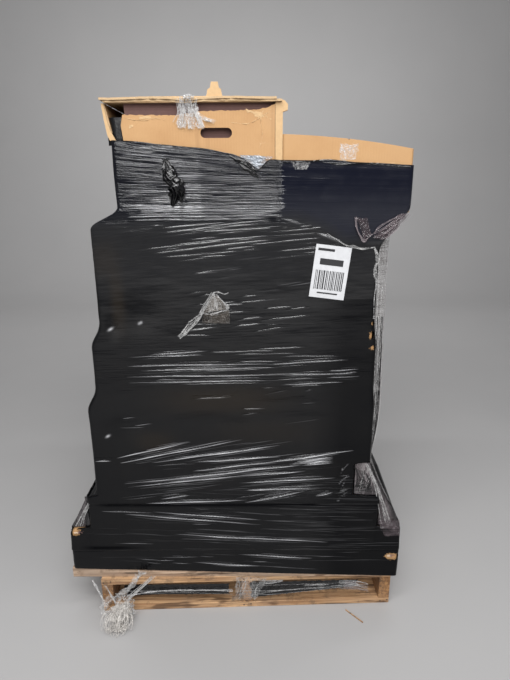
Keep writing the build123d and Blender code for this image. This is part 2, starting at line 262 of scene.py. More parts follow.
def black_film_material():
    """Black stretch film: glossy and very dark, with faint brown show-through, fine pull marks and painted
    highlights along its pull lines.
    """
    m = Nodes("black_film")
    place = m.add("ShaderNodeSeparateXYZ", Vector=m.where)
    pull = m.field("pull")

    def drawn(rough, stretch, height):
        x, y = (m.maths("MULTIPLY", place.outputs[axis], stretch) for axis in "XY")
        vector = m.add("ShaderNodeCombineXYZ", X=x, Y=y, Z=m.maths("MULTIPLY", pull, height))
        return m.noise(1.0, 3.0, rough, vector=vector.outputs["Vector"])

    cloud = m.ramp(m.noise(7.0, 4.0, 0.6), 0.35, 0.7)
    base = m.blend(cloud, colour(0.0012, 0.0013, 0.0020), colour(0.0026, 0.0026, 0.0030))
    base = m.blend(m.field("brown"), base, colour(0.014, 0.0095, 0.005))
    base = m.blend(m.field("navy"), base, colour(0.0012, 0.0020, 0.0078))
    fine, broad = drawn(0.6, 7.0, 260.0), drawn(0.55, 3.0, 60.0)
    strength = m.maths("MULTIPLY", m.field("crinkle"), 0.45)
    # The painted sheen whitens the base colour along the crests: painted highlights, not a colour of the film
    m.set(Base_Color=m.blend(m.field("painted_sheen"), base, colour(0.52, 0.52, 0.54)),
          Roughness=m.ramp(m.noise(24.0, 3.0), 0.3, 0.7, 0.10, 0.17), IOR=1.46,
          Specular_IOR_Level=m.field("gloss"),
          Normal=m.bump(m.ramp(fine, 0.45, 0.75), strength, 0.0016, m.bump(broad, 0.10, 0.003)))
    return m.material


def clear_film_material(name, alpha, lines, tint, scale=42.0):
    """Clear stretch film: nearly invisible where flat, white along its creases."""
    m = Nodes(name)

    def creases(noise, width, peak):
        return m.ramp(m.maths("ABSOLUTE", m.maths("SUBTRACT", noise, 0.5)), 0.0, width, peak, 0.0)

    coarse = m.noise(scale, 3.0, 0.6, distortion=0.8)
    small = m.noise(scale * 2.6, 3.0, 0.6, distortion=0.6)
    crease = m.maths("MAXIMUM", creases(coarse, 0.035, 1.0), creases(small, 0.045, 0.7))
    veil = m.ramp(m.noise(scale * 0.6, 3.0, 0.6), 0.36, 0.66, alpha * 0.3, alpha * 1.7)
    m.set(Base_Color=colour(*tint), Roughness=0.16, IOR=1.5,
          Alpha=m.maths("MINIMUM", m.maths("ADD", veil, m.maths("MULTIPLY", crease, lines)), 1.0),
          Normal=m.bump(m.maths("ADD", coarse, small), 0.6, 0.004))
    return m.material


def bridge_material():
    """Smoky film that spans a recess: drawn into creases, darker where it doubles up, and darker further back
    into the recess as painted shade.
    """
    m = Nodes("bridge_film")
    murk_and_shade = m.field("murk_and_shade")
    streak = m.noise(1.0, 4.0, 0.65, vector=m.mapped((40.0, 40.0, 6.0)), distortion=0.7)
    pale = m.blend(m.ramp(streak, 0.42, 0.66), colour(0.085, 0.070, 0.074), colour(0.24, 0.215, 0.22))
    deep = m.blend(m.ramp(streak, 0.50, 0.70), colour(0.006, 0.006, 0.007), colour(0.060, 0.057, 0.060))
    alpha = m.maths("ADD", m.ramp(murk_and_shade, 0.0, 1.0, 0.55, 0.93), m.ramp(streak, 0.5, 0.7, 0.0, 0.3))
    m.set(Base_Color=m.blend(murk_and_shade, pale, deep), Roughness=0.18, IOR=1.5,
          Alpha=m.maths("MINIMUM", alpha, 1.0), Normal=m.bump(streak, 0.7, 0.004))
    return m.material


def cardboard_material():
    """Kraft corrugated board: warm brown, faint flute lines, fibre specks and scuffs."""
    m = Nodes("cardboard")
    flute = m.add("ShaderNodeTexWave", Vector=m.mapped((1.0, 1.0, 1.0)), Scale=42.0, Distortion=0.6,
                  Detail=2.0)
    flute.bands_direction = "X"
    fibre = m.noise(420.0, 3.0, 0.7)
    crease = m.noise(1.0, 2.0, 0.5, vector=m.mapped((26.0, 26.0, 1.2)), distortion=0.3)
    scuff = m.noise(1.0, 5.0, 0.7, vector=m.mapped((14.0, 14.0, 60.0)))
    blotch = m.ramp(m.noise(9.0, 5.0, 0.62), 0.3, 0.75)
    base = m.blend(blotch, colour(0.375, 0.208, 0.088), colour(0.44, 0.262, 0.120))
    base = m.coat(base, crease, 0.60, 0.68, 0.35, (0.27, 0.145, 0.060))
    base = m.coat(base, m.noise(4.5, 5.0, 0.7), 0.60, 0.72, 0.35, (0.33, 0.185, 0.085))
    base = m.coat(base, fibre, 0.62, 0.8, 0.45, (0.29, 0.16, 0.072))
    base = m.coat(base, scuff, 0.66, 0.8, 0.5, (0.56, 0.40, 0.24))
    m.set(Base_Color=base, Roughness=0.78,
          Normal=m.bump(fibre, 0.10, 0.0006, m.bump(flute.outputs["Fac"], 0.12, 0.0008)))
    return m.material


def wood_material(name, along, pale, dark, grey=0.25):
    """Sawn softwood with its grain along one axis: streaks, knots, splits, dirt and weathering."""
    m = Nodes(name)
    stretch = {"x": (3.0, 110.0, 110.0), "y": (110.0, 3.0, 110.0)}[along]

    def streaks(detail, rough, share, distortion, start=0.0):
        vector = m.mapped(tuple(start + s * share for s in stretch))
        return m.noise(1.0, detail, rough, vector=vector, distortion=distortion)

    grain = streaks(6.0, 0.66, 1.0, 0.8)
    rings = streaks(3.0, 0.5, 0.25, 1.6)
    base = m.blend(m.ramp(grain, 0.38, 0.62), colour(*dark), colour(*pale))
    base = m.coat(base, rings, 0.52, 0.66, 0.6, (dark[0] * 0.8, dark[1] * 0.7, dark[2] * 0.6))
    base = m.coat(base, m.noise(6.0, 5.0, 0.65), 0.45, 0.75, grey, (0.27, 0.23, 0.19))
    base = m.coat(base, m.noise(22.0, 5.0, 0.7), 0.54, 0.64, 0.6, (0.13, 0.080, 0.048))
    base = m.coat(base, streaks(4.0, 0.6, 0.7, 0.4), 0.60, 0.645, 0.8, (0.035, 0.020, 0.012))
    base = m.coat(base, streaks(2.0, 0.5, 0.25, 0.0, 6.0), 0.62, 0.68, 0.8, (0.075, 0.035, 0.015))
    m.set(Base_Color=base, Roughness=0.82, Normal=m.bump(grain, 0.45, 0.0015, m.bump(rings, 0.3, 0.002)))
    return m.material


def plain_material(name, rgb, roughness, bump_scale=80.0, bump=0.1):
    m = Nodes(name)
    spot = m.noise(bump_scale, 3.0)
    m.set(Base_Color=m.blend(m.ramp(spot, 0.35, 0.7), colour(*rgb), colour(*[c * 0.9 for c in rgb])),
          Roughness=roughness, Normal=m.bump(spot, bump, 0.0008))
    return m.material


BLACK_FILM = black_film_material()
SHINY_BLACK = plain_material("shiny_black_film", (0.003, 0.003, 0.0035), 0.18, 70.0, 0.5)
CLEAR_FILM = clear_film_material("clear_film", 0.12, 0.50, (0.66, 0.655, 0.65))
HAZE_FILM = clear_film_material("haze_film", 0.26, 0.6, (0.74, 0.73, 0.74))
SMOKE_FILM = clear_film_material("smoke_film", 0.60, 0.15, (0.15, 0.125, 0.13), 20.0)
RIBBED_FILM = clear_film_material("ribbed_film", 0.40, 0.35, (0.20, 0.19, 0.19), 60.0)
FIBRE = clear_film_material("film_fibre", 0.36, 0.38, (0.50, 0.495, 0.49), 60.0)
VEIL = clear_film_material("film_veil", 0.07, 0.32, (0.62, 0.61, 0.60))
BLUE_HAZE = clear_film_material("blue_haze", 0.62, 0.30, (0.30, 0.325, 0.36), 30.0)
RIB_FIBRE = clear_film_material("rib_fibre", 0.42, 0.30, (0.145, 0.135, 0.13), 60.0)
BRIDGE_FILM = bridge_material()
WEB_FILM = clear_film_material("web_film", 0.45, 0.55, (0.17, 0.155, 0.14), 70.0)
BROWN_VEIL = clear_film_material("brown_veil", 0.30, 0.35, (0.085, 0.072, 0.060), 50.0)
BUNDLE_FILM = clear_film_material("bundle_film", 0.45, 0.55, (0.60, 0.57, 0.535), 60.0)
MAUVE_FILM = clear_film_material("mauve_film", 0.55, 0.35, (0.055, 0.042, 0.047), 45.0)
PINK_FILM = clear_film_material("pink_film", 0.5, 0.3, (0.21, 0.175, 0.185), 50.0)
# Dark purple-brown board: painted shade for the inside of the open carton and for the deeper layer of the
# torn holes at the base
SHADED_FLAP_BOARD = plain_material("shaded_flap_board", (0.17, 0.095, 0.085), 0.85, 90.0, 0.2)
CARDBOARD = cardboard_material()
PALE_BOARD = plain_material("pale_board", (0.50, 0.33, 0.17), 0.8, 120.0, 0.2)
PAPER_LINER = plain_material("paper_liner", (0.60, 0.45, 0.32), 0.8, 120.0, 0.2)
BOARD_EDGE = plain_material("board_edge", (0.46, 0.32, 0.18), 0.85, 300.0, 0.6)
PALLET_X = wood_material("pallet_wood_x", "x", (0.62, 0.39, 0.21), (0.28, 0.15, 0.070))
PALLET_Y = wood_material("pallet_wood_y", "y", (0.38, 0.20, 0.080), (0.15, 0.070, 0.028))
PLANK_WOOD = wood_material("plank_wood", "x", (0.52, 0.37, 0.26), (0.24, 0.155, 0.10), 0.4)
PAPER = plain_material("label_paper", (0.56, 0.565, 0.58), 0.35)
INK = plain_material("label_ink", (0.012, 0.012, 0.014), 0.5)


# The film's ridges: sharp pull lines that catch the light, each with a painted highlight along its crest

class Ridges:
    """Pull lines on one face of the film, pressed into a height field.

    A line's height and width are in mm and its lean is in degrees.
    """

    def __init__(self, seed):
        self.rng = np.random.default_rng(seed)
        self.lines = []

    def line(self, u, z, length, lean, height, width=1.9):
        """One line that starts at (u, z) and leans upward to the right."""
        self.lines.append((u, z, length, math.radians(lean), height * MM, width * MM,
                           self.rng.uniform(0, 100)))

    def pleat(self, u, z, length, lean, height, width=2.9):
        """A strong line with a few weaker ones beside it."""
        self.line(u, z, length, lean, height, width)
        for side in (1, -1):
            cut = self.rng.uniform(0.15, 0.5)
            start = self.rng.uniform(0.0, cut) * length
            step = side * self.rng.uniform(5.5, 9.0) * MM
            self.line(u + start, z + step + start * math.sin(math.radians(lean)), length * (1 - cut),
                      lean + self.rng.uniform(-0.6, 0.6), height * self.rng.uniform(0.25, 0.6), width * 0.75)

    def sheaf(self, count, *ranges):
        """Many lines in one region, with a (low, high) pair for u, z, length, lean, height and width."""
        for _ in range(count):
            self.line(*(self.rng.uniform(*pair) for pair in ranges))

    def press(self, along, up, field, painted_sheen):
        """Adds every line to the height field, and a painted highlight along its crest to the painted sheen.
        """
        for u, z, length, lean, height, width, phase in self.lines:
            run_u, run_z = math.cos(lean), math.sin(lean)
            rise = length * run_z
            near = (along > u - width * 3) & (along < u + length * run_u + width * 3)
            near &= (up > z - width * 4 + min(0, rise)) & (up < z + width * 4 + max(0, rise))
            rows, columns = np.where(near.any(axis=1))[0], np.where(near.any(axis=0))[0]
            if not len(rows) or not len(columns):
                continue
            window = (slice(rows[0], rows[-1] + 1), slice(columns[0], columns[-1] + 1))
            du, dz = along[window] - u, up[window] - z
            run = (du * run_u + dz * run_z) / length
            off = -du * run_z + dz * run_u
            off = off + width * 0.5 * np.sin(run * length * 16 + phase) * np.sin(run * 4 + phase * 2)
            taper = np.sin(np.pi * np.clip(run, 0, 1) ** (0.6 + 0.8 * (phase % 1))) ** 0.7
            broken = 0.85 + 0.15 * np.sin(run * length * 17 + phase)
            reach = width * (0.55 + 0.45 * taper)
            upper = np.clip(1 - (np.maximum(off, 0) / (1.5 * reach)) ** 1.6, 0, 1)
            lower = np.clip(1 + np.minimum(off, 0) / (0.8 * reach), 0, 1)
            ridge = height * taper * broken * upper * lower
            field[window] = np.maximum(field[window], 0.35 * field[window] + ridge)
            # Painted highlight along the crest, stronger for taller lines
            fade = taper ** 0.9 * (0.78 + 0.22 * np.sin(run * length * 55 + phase * 5))
            mark = bell(off, 0.25 * reach, 0.36 * reach) * fade * ((run > 0) & (run < 1))
            painted_sheen[window] = np.maximum(painted_sheen[window], mark * min(1.0, height / (4.6 * MM)) ** 1.9)


def smooth_steps(z, heights, values, blur=3 * MM):
    """Piecewise line through the values, slightly eased at its corners."""
    return sum(np.interp(z + shift, heights, values) for shift in (-blur, -blur / 2, 0, blur / 2, blur)) / 5


SKIN = 3.2 * MM
THIRD_TOP, LOW_TOP, MIDDLE_TOP = THIRD[5], LOW[5], MIDDLE[5]
LEFT_TOP, RIGHT_TOP, OVERHANG = HIGH_LEFT[5], HIGH_RIGHT[5], FLAT_BOX[4]
OPEN_LEFT = OPEN_BOX[0] + 20 * MM
SPAN = 55 * MM
FRONT_BACK = LOW[3]
SIDE = max(REAR[1], FLAT_BOX[1]) + 8 * MM
LEDGE = 5 * MM


def film_sides(z):
    """Left edge, right edge, rear side, front and back of the film's outer face at each height."""
    over_base, over_second, under_low = BASE[5] + 9 * MM, SECOND[5] + 9 * MM, THIRD_TOP - 9 * MM
    heights = [0, SECOND[4], SECOND[4] + LEDGE, over_base - LEDGE, over_base, over_second - LEDGE,
               over_second, under_low, under_low + LEDGE, LOW_TOP, LOW_TOP + SPAN, MIDDLE_TOP,
               MIDDLE_TOP + SPAN, RIGHT_TOP, LEFT_TOP + 12 * MM, OVERHANG, 2.0]
    left = [BASE[0]] * 4 + [SECOND[0]] * 2 + [THIRD[0]] * 2 + [LOW[0]] * 2 + [MIDDLE[0]] * 2
    left += [HIGH_LEFT[0]] * 3 + [OPEN_LEFT] * 2
    widening = (FLAT_BOX[1] - HIGH_RIGHT[1]) * (LEFT_TOP - RIGHT_TOP) / (OVERHANG - RIGHT_TOP)
    right = [BASE[1]] * 4 + [SECOND[1]] * 2 + [THIRD[1] + 5 * MM] * 2 + [LOW[1]] * 2 + [MIDDLE[1]] * 2
    right += [HIGH_RIGHT[1]] * 2 + [HIGH_RIGHT[1] + widening] + [FLAT_BOX[1]] * 2
    side = [BASE[1] + 16 * MM] * 4 + [SIDE] * 13
    back = [BASE[3]] * 4 + [SECOND[3]] * 2 + [REAR[3]] * 11
    front = np.interp(z, [SECOND[4] - LEDGE, SECOND[4] + 0.08, SECOND[5], SECOND[5] + SPAN],
                      [BASE[2], SECOND[2], SECOND[2] + 1 * MM, LOW[2]])

    def cut(values):
        soft = smooth_steps(z, heights, values, 16 * MM)
        return np.where(z > THIRD_TOP + 40 * MM, soft, smooth_steps(z, heights, values))

    return cut(left) - SKIN, cut(right) + SKIN, cut(side) + SKIN, front - SKIN, cut(back) + SKIN


def corner_point(before, corner, after, radius, turn):
    """A point on the rounded corner: turn 0 is on the edge before it and 1 on the edge after."""
    into = corner - before
    out = after - corner
    into = into / np.linalg.norm(into, axis=-1, keepdims=True)
    out = out / np.linalg.norm(out, axis=-1, keepdims=True)
    start, end = corner - into * radius, corner + out * radius
    return (1 - turn) ** 2 * start + 2 * turn * (1 - turn) * corner + turn ** 2 * end


def ring_corners(z):
    """The film outline's five corners at each height, as arrays of (u, v)."""
    left, right, side, front, back = film_sides(z)
    rear_side = np.full_like(z, FRONT_BACK)
    pairs = [(left, front), (right, front), (side, rear_side), (side, back), (left, back)]
    return [np.stack(pair, axis=-1) for pair in pairs]


def wall_grid(corners, edge, z, columns, crowd=0.0, radius=12 * MM, arc=5):
    """Points of one wall of a closed outline, from mid corner to mid corner, on rows z.

    crowd, 0 to 1, draws the columns toward both ends.
    """
    count = len(corners)
    a, b = corners[edge], corners[(edge + 1) % count]
    before, after = corners[edge - 1], corners[(edge + 2) % count]
    rows = [corner_point(before, a, b, radius, 0.5 + 0.5 * k / arc) for k in range(arc)]
    along = b - a
    length = np.linalg.norm(along, axis=-1, keepdims=True)
    for k in range(columns + 1):
        share = k / columns
        share -= crowd * math.sin(2 * math.pi * share) / (2 * math.pi)
        rows.append(a + along / length * (radius + (length - 2 * radius) * share))
    rows += [corner_point(a, b, after, radius, 0.5 * k / arc) for k in range(1, arc + 1)]
    flat = np.stack(rows, axis=1)
    return np.concatenate([flat, np.broadcast_to(z[:, None, None], flat.shape[:2] + (1,))], axis=-1)


def outward(grid):
    """Unit outward directions, level, for a wall grid whose columns run with the outline."""
    run = np.gradient(grid[..., :2], axis=1)
    out = np.stack([run[..., 1], -run[..., 0]], axis=-1)
    return out / np.maximum(np.linalg.norm(out, axis=-1, keepdims=True), 1e-9)


RIM_U = [OPEN_LEFT, -0.276, -0.149, -0.051, 0.038, 0.056, 0.094, 0.104, 0.122, OPEN_BOX[1], 0.274,
         FLAT_BOX[1]]
RIM_Z = [1.563, 1.561, 1.550, 1.540, 1.521, 1.515, 1.487, 1.486, 1.510, 1.509, 1.508, 1.494]
FILM_TOP = 1.57
CRINKLE_FOOT = 1.345
TAIL_U = -0.119


def rim(u):
    """Height of the film's upper edge along the front."""
    return np.interp(u, RIM_U, RIM_Z)


def hem(u):
    """Height of the film's lower edge along the front."""
    return np.interp(u, [BASE[0], BASE[1]], [PLANK[5] + 0.5 * MM, PLANK[4] + 4 * MM])


def fold(up, level, depth, swell=1.3):
    """A level crease: a narrow groove with the film above it overhanging."""
    above, below = np.maximum(up - level, 0), np.maximum(level - up, 0)
    lip = (1 - np.exp(-above / (1.2 * MM))) * np.exp(-above / (34 * MM))
    groove = np.exp(-(above + below) / (2.2 * MM))
    return depth * (swell * lip - 0.7 * groove)


SECOND_FOOT = SECOND[4]
FOLD_LEVEL = 0.422
PULL_HEIGHTS = [0.0, 0.24, 0.40, 0.46, 0.56, 0.63, 0.72, 0.85, 1.00, 1.10, 1.30, 1.345, 1.40, 1.50, 1.56]
PULL_SLOPES = [-0.05, -0.05, -0.06, 0.03, 0.10, 0.17, 0.10, 0.02, 0.04, 0.11, 0.09, 0.03, -0.02, -0.06, -0.13]
CRINKLE = [0.15, 0.15, 0.3, 0.4, 0.5, 0.45, 0.1, 0.5, 0.3, 0.12, 0.12, 0.45, 1.0, 1.0, 1.0]
# Broad swells of the front, as (u, z, half width, half height, depth in mm)
SWELLS = ((-0.26, 1.06, 0.05, 0.05, 5), (-0.345, 1.03, 0.02, 0.03, 4), (0.20, 1.14, 0.14, 0.05, 2),
          (-0.33, 0.69, 0.05, 0.05, 4), (0.24, 0.74, 0.07, 0.025, 3), (-0.05, 0.71, 0.16, 0.05, 3),
          (0.15, 0.79, 0.14, 0.02, 2))


def front_shape(along, up):
    """Broad shape of the front: creases between tiers, swells, and the folds at the tail and the corner."""
    field = fold(up, FOLD_LEVEL + 1.5 * MM * np.sin(along * 9), 2.2 * MM, 0.7)
    field += fold(up, SECOND_FOOT - 4 * MM + 1.5 * MM * np.sin(along * 7 + 1), 3.0 * MM)
    second = ease(along, SECOND[0], 4 * MM) * ease(along, SECOND[1], -4 * MM)
    field += 2 * MM * second * ease(up, SECOND_FOOT, 40 * MM) * ease(up, SECOND[5], -60 * MM)
    for u, z, size_u, size_z, depth in SWELLS:
        field += depth * MM * bell(along, u, size_u) * bell(up, z, size_z)
    tail_fold = TAIL_U + (1.43 - up) * 0.03
    field -= 2 * MM * bell(along, tail_fold, 8 * MM) * ease(up, 1.46, -0.03) * (up > 1.352)
    field += 2 * MM * ease(along, OPEN_BOX[1] - 3 * MM, -5 * MM) * ease(up, 1.35, 0.02)
    return field


# Pull lines of the front, as (u, z, length, lean)
THIRD_PLEATS = ((-0.368, 0.594, 0.249, 13.6), (-0.357, 0.577, 0.409, 12.0), (-0.252, 0.578, 0.419, 8.5),
                (-0.121, 0.578, 0.285, 4.2), (-0.117, 0.546, 0.283, 7.3), (0.120, 0.577, 0.285, 8.8),
                (-0.206, 0.517, 0.372, 6.7), (0.032, 0.546, 0.204, 6.0), (0.032, 0.527, 0.214, 4.8),
                (-0.350, 0.499, 0.451, 6.5), (-0.317, 0.491, 0.417, 6.0), (0.032, 0.503, 0.314, 3.1),
                (0.053, 0.476, 0.244, 1.7), (-0.281, 0.429, 0.332, 1.8), (0.051, 0.430, 0.201, 11.9),
                (0.285, 0.452, 0.055, 15.2), (-0.230, 0.445, 0.092, 8.0))
MIDDLE_PLEATS = ((-0.240, 0.949, 0.181, 3.8), (-0.290, 0.942, 0.218, 1.4), (-0.307, 0.913, 0.468, 0.5),
                 (0.120, 0.915, 0.250, 3.6), (-0.271, 0.898, 0.432, 1.0), (-0.316, 0.877, 0.478, 0.5),
                 (0.130, 0.881, 0.225, 1.1), (-0.309, 0.857, 0.470, 0.9), (0.161, 0.848, 0.196, 2.7),
                 (0.312, 0.894, 0.092, 3.8), (0.307, 0.871, 0.099, 3.6), (0.315, 0.883, 0.085, 4.4))
HIGH_LINES = ((-0.266, 1.265, 0.425, 5.8), (-0.205, 1.256, 0.366, 6.4), (-0.073, 1.317, 0.231, 2.4),
              (-0.053, 1.253, 0.108, 6.5), (-0.117, 1.135, 0.067, 12.5), (0.029, 1.110, 0.131, 5.0),
              (-0.127, 1.009, 0.082, 0.8), (0.211, 1.330, 0.040, 4.0))


def front_lines():
    """Pull lines of the front, tier by tier from the floor up."""
    r = Ridges(11)
    fine, thin, crisp = (1.2, 2.8), (1.5, 2.2), (1.3, 1.9)
    # Base carton: few lines that fall to the right
    r.line(-0.242, 0.217, 0.125, -0.2, 2.2)
    r.pleat(-0.136, 0.196, 0.234, -4.3, 4.4)
    r.pleat(0.028, 0.228, 0.248, -4.0, 4.4)
    r.line(0.287, 0.219, 0.069, -0.2, 2.0)
    r.line(0.027, 0.185, 0.272, -4.1, 2.2)
    r.sheaf(9, (-0.42, 0.25), (0.19, 0.235), (0.04, 0.16), (-4.5, 0.0), fine, thin)
    # Second carton
    r.line(-0.434, 0.398, 0.175, -2.1, 3.0)
    r.pleat(-0.259, 0.394, 0.358, -4.9, 4.4)
    r.line(0.097, 0.363, 0.131, -2.8, 2.4)
    r.pleat(-0.354, 0.385, 0.453, -5.0, 4.4)
    r.pleat(-0.189, 0.308, 0.287, -4.3, 4.4)
    r.line(0.029, 0.299, 0.115, -0.8, 2.4)
    r.pleat(0.029, 0.294, 0.297, -3.2, 4.4)
    r.sheaf(16, (-0.42, 0.22), (0.27, 0.41), (0.05, 0.24), (-5.5, -1.5), fine, thin)
    # Third carton: long lines that rise to the right
    for start in THIRD_PLEATS:
        r.pleat(*start, 5.2, 3.3)
    r.line(-0.440, 0.583, 0.050, 2.5, 4.2, 2.8)
    for k in range(7):
        r.line(0.185 + 0.012 * k, 0.566 + 0.006 * (k % 4), 0.15 - 0.012 * k, 9.0 - k, 4.4, 2.2)
    r.sheaf(34, (-0.37, 0.20), (0.44, 0.60), (0.05, 0.26), (3.0, 8.0), (1.0, 2.4), thin)
    r.sheaf(20, (-0.36, 0.05), (0.57, 0.66), (0.05, 0.20), (8.0, 13.0), (1.0, 2.0), thin)
    # Low carton: calm, a few short strokes
    r.line(0.116, 0.815, 0.068, 14.1, 1.8)
    r.line(0.240, 0.826, 0.025, 20.6, 1.8)
    r.sheaf(8, (-0.38, 0.25), (0.68, 0.84), (0.03, 0.12), (0.0, 9.0), fine, thin)
    # Middle carton: a bundle of long level lines
    for start in MIDDLE_PLEATS:
        r.pleat(*start, 3.6, 2.1)
    r.sheaf(26, (-0.32, 0.20), (0.85, 0.965), (0.04, 0.20), (0.0, 3.5), (1.0, 2.2), thin)
    # High cartons: fine lines that rise to the right, most of them near the top
    for start in HIGH_LINES:
        r.line(*start, 1.9, 1.7)
    r.sheaf(40, (-0.25, 0.12), (1.225, 1.335), (0.08, 0.30), (3.5, 7.5), (0.6, 1.6), crisp)
    r.sheaf(22, (-0.12, 0.20), (1.02, 1.22), (0.03, 0.15), (4.0, 10.0), fine, thin)
    r.line(0.262, 1.312, 0.082, -20.5, 3.4, 2.0)
    r.line(0.129, 1.365, 0.090, -18.3, 3.4, 2.2)
    # Open carton: dense creases that fall with the rim at the top and level out below
    r.sheaf(120, (-0.30, 0.10), (1.37, 1.47), (0.05, 0.26), (-3.0, 0.6), (1.4, 3.8), crisp)
    r.sheaf(60, (-0.30, 0.04), (1.46, 1.55), (0.05, 0.20), (-7.0, -3.0), (1.2, 3.2), crisp)
    r.sheaf(32, (-0.28, -0.05), (1.350, 1.385), (0.08, 0.30), (-0.8, 2.2), (2.6, 4.6), crisp)
    r.sheaf(14, (0.02, 0.14), (1.352, 1.385), (0.05, 0.12), (1.0, 4.0), (2.2, 4.0), crisp)
    # The fold that runs down to the notch in the rim
    r.line(-0.030, 1.536, 0.115, -24.0, 3.0)
    r.line(-0.060, 1.528, 0.150, -17.0, 2.6)
    # Crumpled end of the third tier, beside the right bridge
    for k in range(12):
        r.line(0.358 + 0.006 * (k % 3), 0.432 + 0.0105 * k, 0.026 + 0.006 * (k % 2), 74.0 - 17 * (k % 5),
               2.7, 2.0)
    # Faint ribs on the lower right and across the base
    r.sheaf(70, (0.10, 0.36), (0.20, 0.52), (0.08, 0.30), (-3.0, 1.0), (0.8, 1.5), thin)
    r.sheaf(40, (-0.50, 0.10), (0.19, 0.50), (0.08, 0.30), (-4.0, 0.0), (0.5, 1.1), thin)
    return r


def side_lines(seed):
    """Pull lines of a wall that the photograph hides: the same mix, a little quieter."""
    r = Ridges(seed)
    r.sheaf(60, (-0.62, 0.40), (0.18, 1.40), (0.10, 0.50), (-5.0, 7.0), (1.2, 3.0), (3.0, 5.0))
    r.sheaf(60, (-0.60, 0.45), (1.34, 1.50), (0.06, 0.30), (-3.0, 3.0), (1.2, 2.6), (3.0, 5.0))
    return r


FRONT_EDGE = LOW[2] + 18 * MM
# Strength of the painted sheen at each height, as heights and factors
BRIGHT_HEIGHTS = [0.24, 0.42, 0.46, 0.56, 0.60, 0.72, 0.80, 1.10, 1.16, 1.27, 1.31, 1.34, 1.36]
BRIGHT = [1.3, 1.15, 0.85, 0.95, 1.45, 1.35, 1.0, 1.0, 0.7, 0.7, 1.0, 1.0, 1.25]


def side_hem(u):
    """Lower edge of the smooth navy film that covers the flat carton."""
    return np.interp(u, [0.214, 0.243, 0.286, 0.344], [1.343, 1.332, 1.315, 1.278])


def tear(grid_u, grid_z, tears):
    """Mask of the cells to keep around ragged holes, each (u, z, half width, half height)."""
    keep = np.ones(grid_u.shape, bool)
    for number, (u, z, half_u, half_z) in enumerate(tears):
        ragged = 1 + 0.35 * wave_noise(np.stack([grid_u, grid_z], -1), 70 + number, 0.018, 2, sharp=True)
        keep &= ((grid_u - u) / half_u) ** 2 + ((grid_z - z) / half_z) ** 2 > ragged ** 2
    return keep


# Holes that show board, as (u, z, half width, half height)
TEARS = ((-0.540, 0.316, 0.030, 0.016), (0.549, 0.218, 0.030, 0.016), (0.438, 1.008, 0.013, 0.014),
         (0.441, 1.045, 0.010, 0.008), (0.441, 0.968, 0.011, 0.008))
# Faint level folds of the smooth navy film, as (height, depth in mm)
FLAT_FOLDS = ((1.486, 0.25), (1.460, 0.2), (1.447, 0.15), (1.433, 0.15), (1.402, 0.15))
# Small painted highlights, as (u, z, half width in mm)
PAINTED_GLINTS = ((-0.259, 1.051, 4.5), (-0.350, 1.032, 7), (-0.390, 0.675, 6))


def film_wall(name, edge, rows, columns, lines, seed, z_low, z_high, crowd=0.0):
    """One wall of the black film between two heights, with its sag, creases and pull lines."""
    z = np.linspace(z_low, z_high, rows)
    grid = wall_grid(ring_corners(z), edge, z, columns, crowd)
    along = grid[..., 0] if edge in (0, 3) else grid[..., 1]
    u = grid[..., 0]
    up = np.clip(grid[..., 2], hem(u), rim(u))
    field = wave_noise(np.stack([along * 0.3, up], axis=-1), seed, 0.30, 2) * 1.6 * MM
    field += wave_noise(np.stack([along * 0.25, up], axis=-1), seed + 1, 0.07, 3) * 0.5 * MM
    if edge == 0:
        field += front_shape(along, up)
    # The painted sheen: painted highlights along the pull lines, whitening the film's base colour
    painted_sheen = np.zeros_like(field)
    lines.press(along, up, field, painted_sheen)
    if edge == 0:
        crinkled = up > CRINKLE_FOOT
        flat_side = ease(along, OPEN_BOX[1] - 6 * MM, 6 * MM) * ease(up, side_hem(along), 0.01)
        field *= 1 - 0.93 * flat_side
        # The painted sheen fades out at the left end of the crinkled band, is weaker on its right part, and
        # is dimmed in a band below the tail as a painted shadow of the tail
        fade = np.where(up > 1.36, np.clip((along + 0.283) / 0.012, 0.05, 1), 1.0)
        fade *= np.where(crinkled, np.interp(along, [-0.10, -0.05], [1.0, 0.42]), 1.0)
        fade *= 1 - 0.75 * bell(along, TAIL_U, 8 * MM, 4) * (crinkled & (up < 1.435))
        # A faint painted sheen over the upper front and the low part of the flat side: painted reflection
        # that lightens the film
        painted_sheen_floor = 0.015 * ease(up, 1.12, 0.08) * (up < CRINKLE_FOOT) * (1 - flat_side)
        painted_sheen_floor += 0.020 * flat_side * ease(up, 1.44, -0.08)
        painted_sheen = np.clip(painted_sheen * fade * (1 - flat_side) * np.interp(up, BRIGHT_HEIGHTS, BRIGHT), painted_sheen_floor, 1)
        for level, depth in FLAT_FOLDS:
            field += flat_side * depth * MM * bell(up + 0.02 * (along - 0.3), level, 7 * MM)
        # Painted glints: round highlights painted into the sheen
        for at_u, at_z, wide in PAINTED_GLINTS:
            turned = (up - at_z) - 0.5 * (along - at_u)
            painted_sheen = np.maximum(painted_sheen, 0.8 * bell(along, at_u, wide * MM) * bell(turned, 0, 4 * MM))
    if edge == 1:
        field *= 0.6
    if edge == 4:
        ends = ease(along, along.min(), 30 * MM) * ease(along, along.max(), -30 * MM)
        for level in (LOW_TOP, MIDDLE_TOP):
            field += 2.5 * MM * ends * bell(up, level, 20 * MM)
    field = np.maximum(field, 0.6 * MM - SKIN)
    grid[..., :2] += outward(grid) * field[..., None]
    grid[..., 2] = up
    return film_piece(name, grid, along, painted_sheen)


GLOSS_HEIGHTS = [0.15, 0.43, 0.60, 0.72, 0.84, 0.96, 1.05, 1.38, 1.46]
GLOSS = [0.26, 0.29, 0.32, 0.38, 0.42, 0.55, 0.82, 0.82, 0.58]

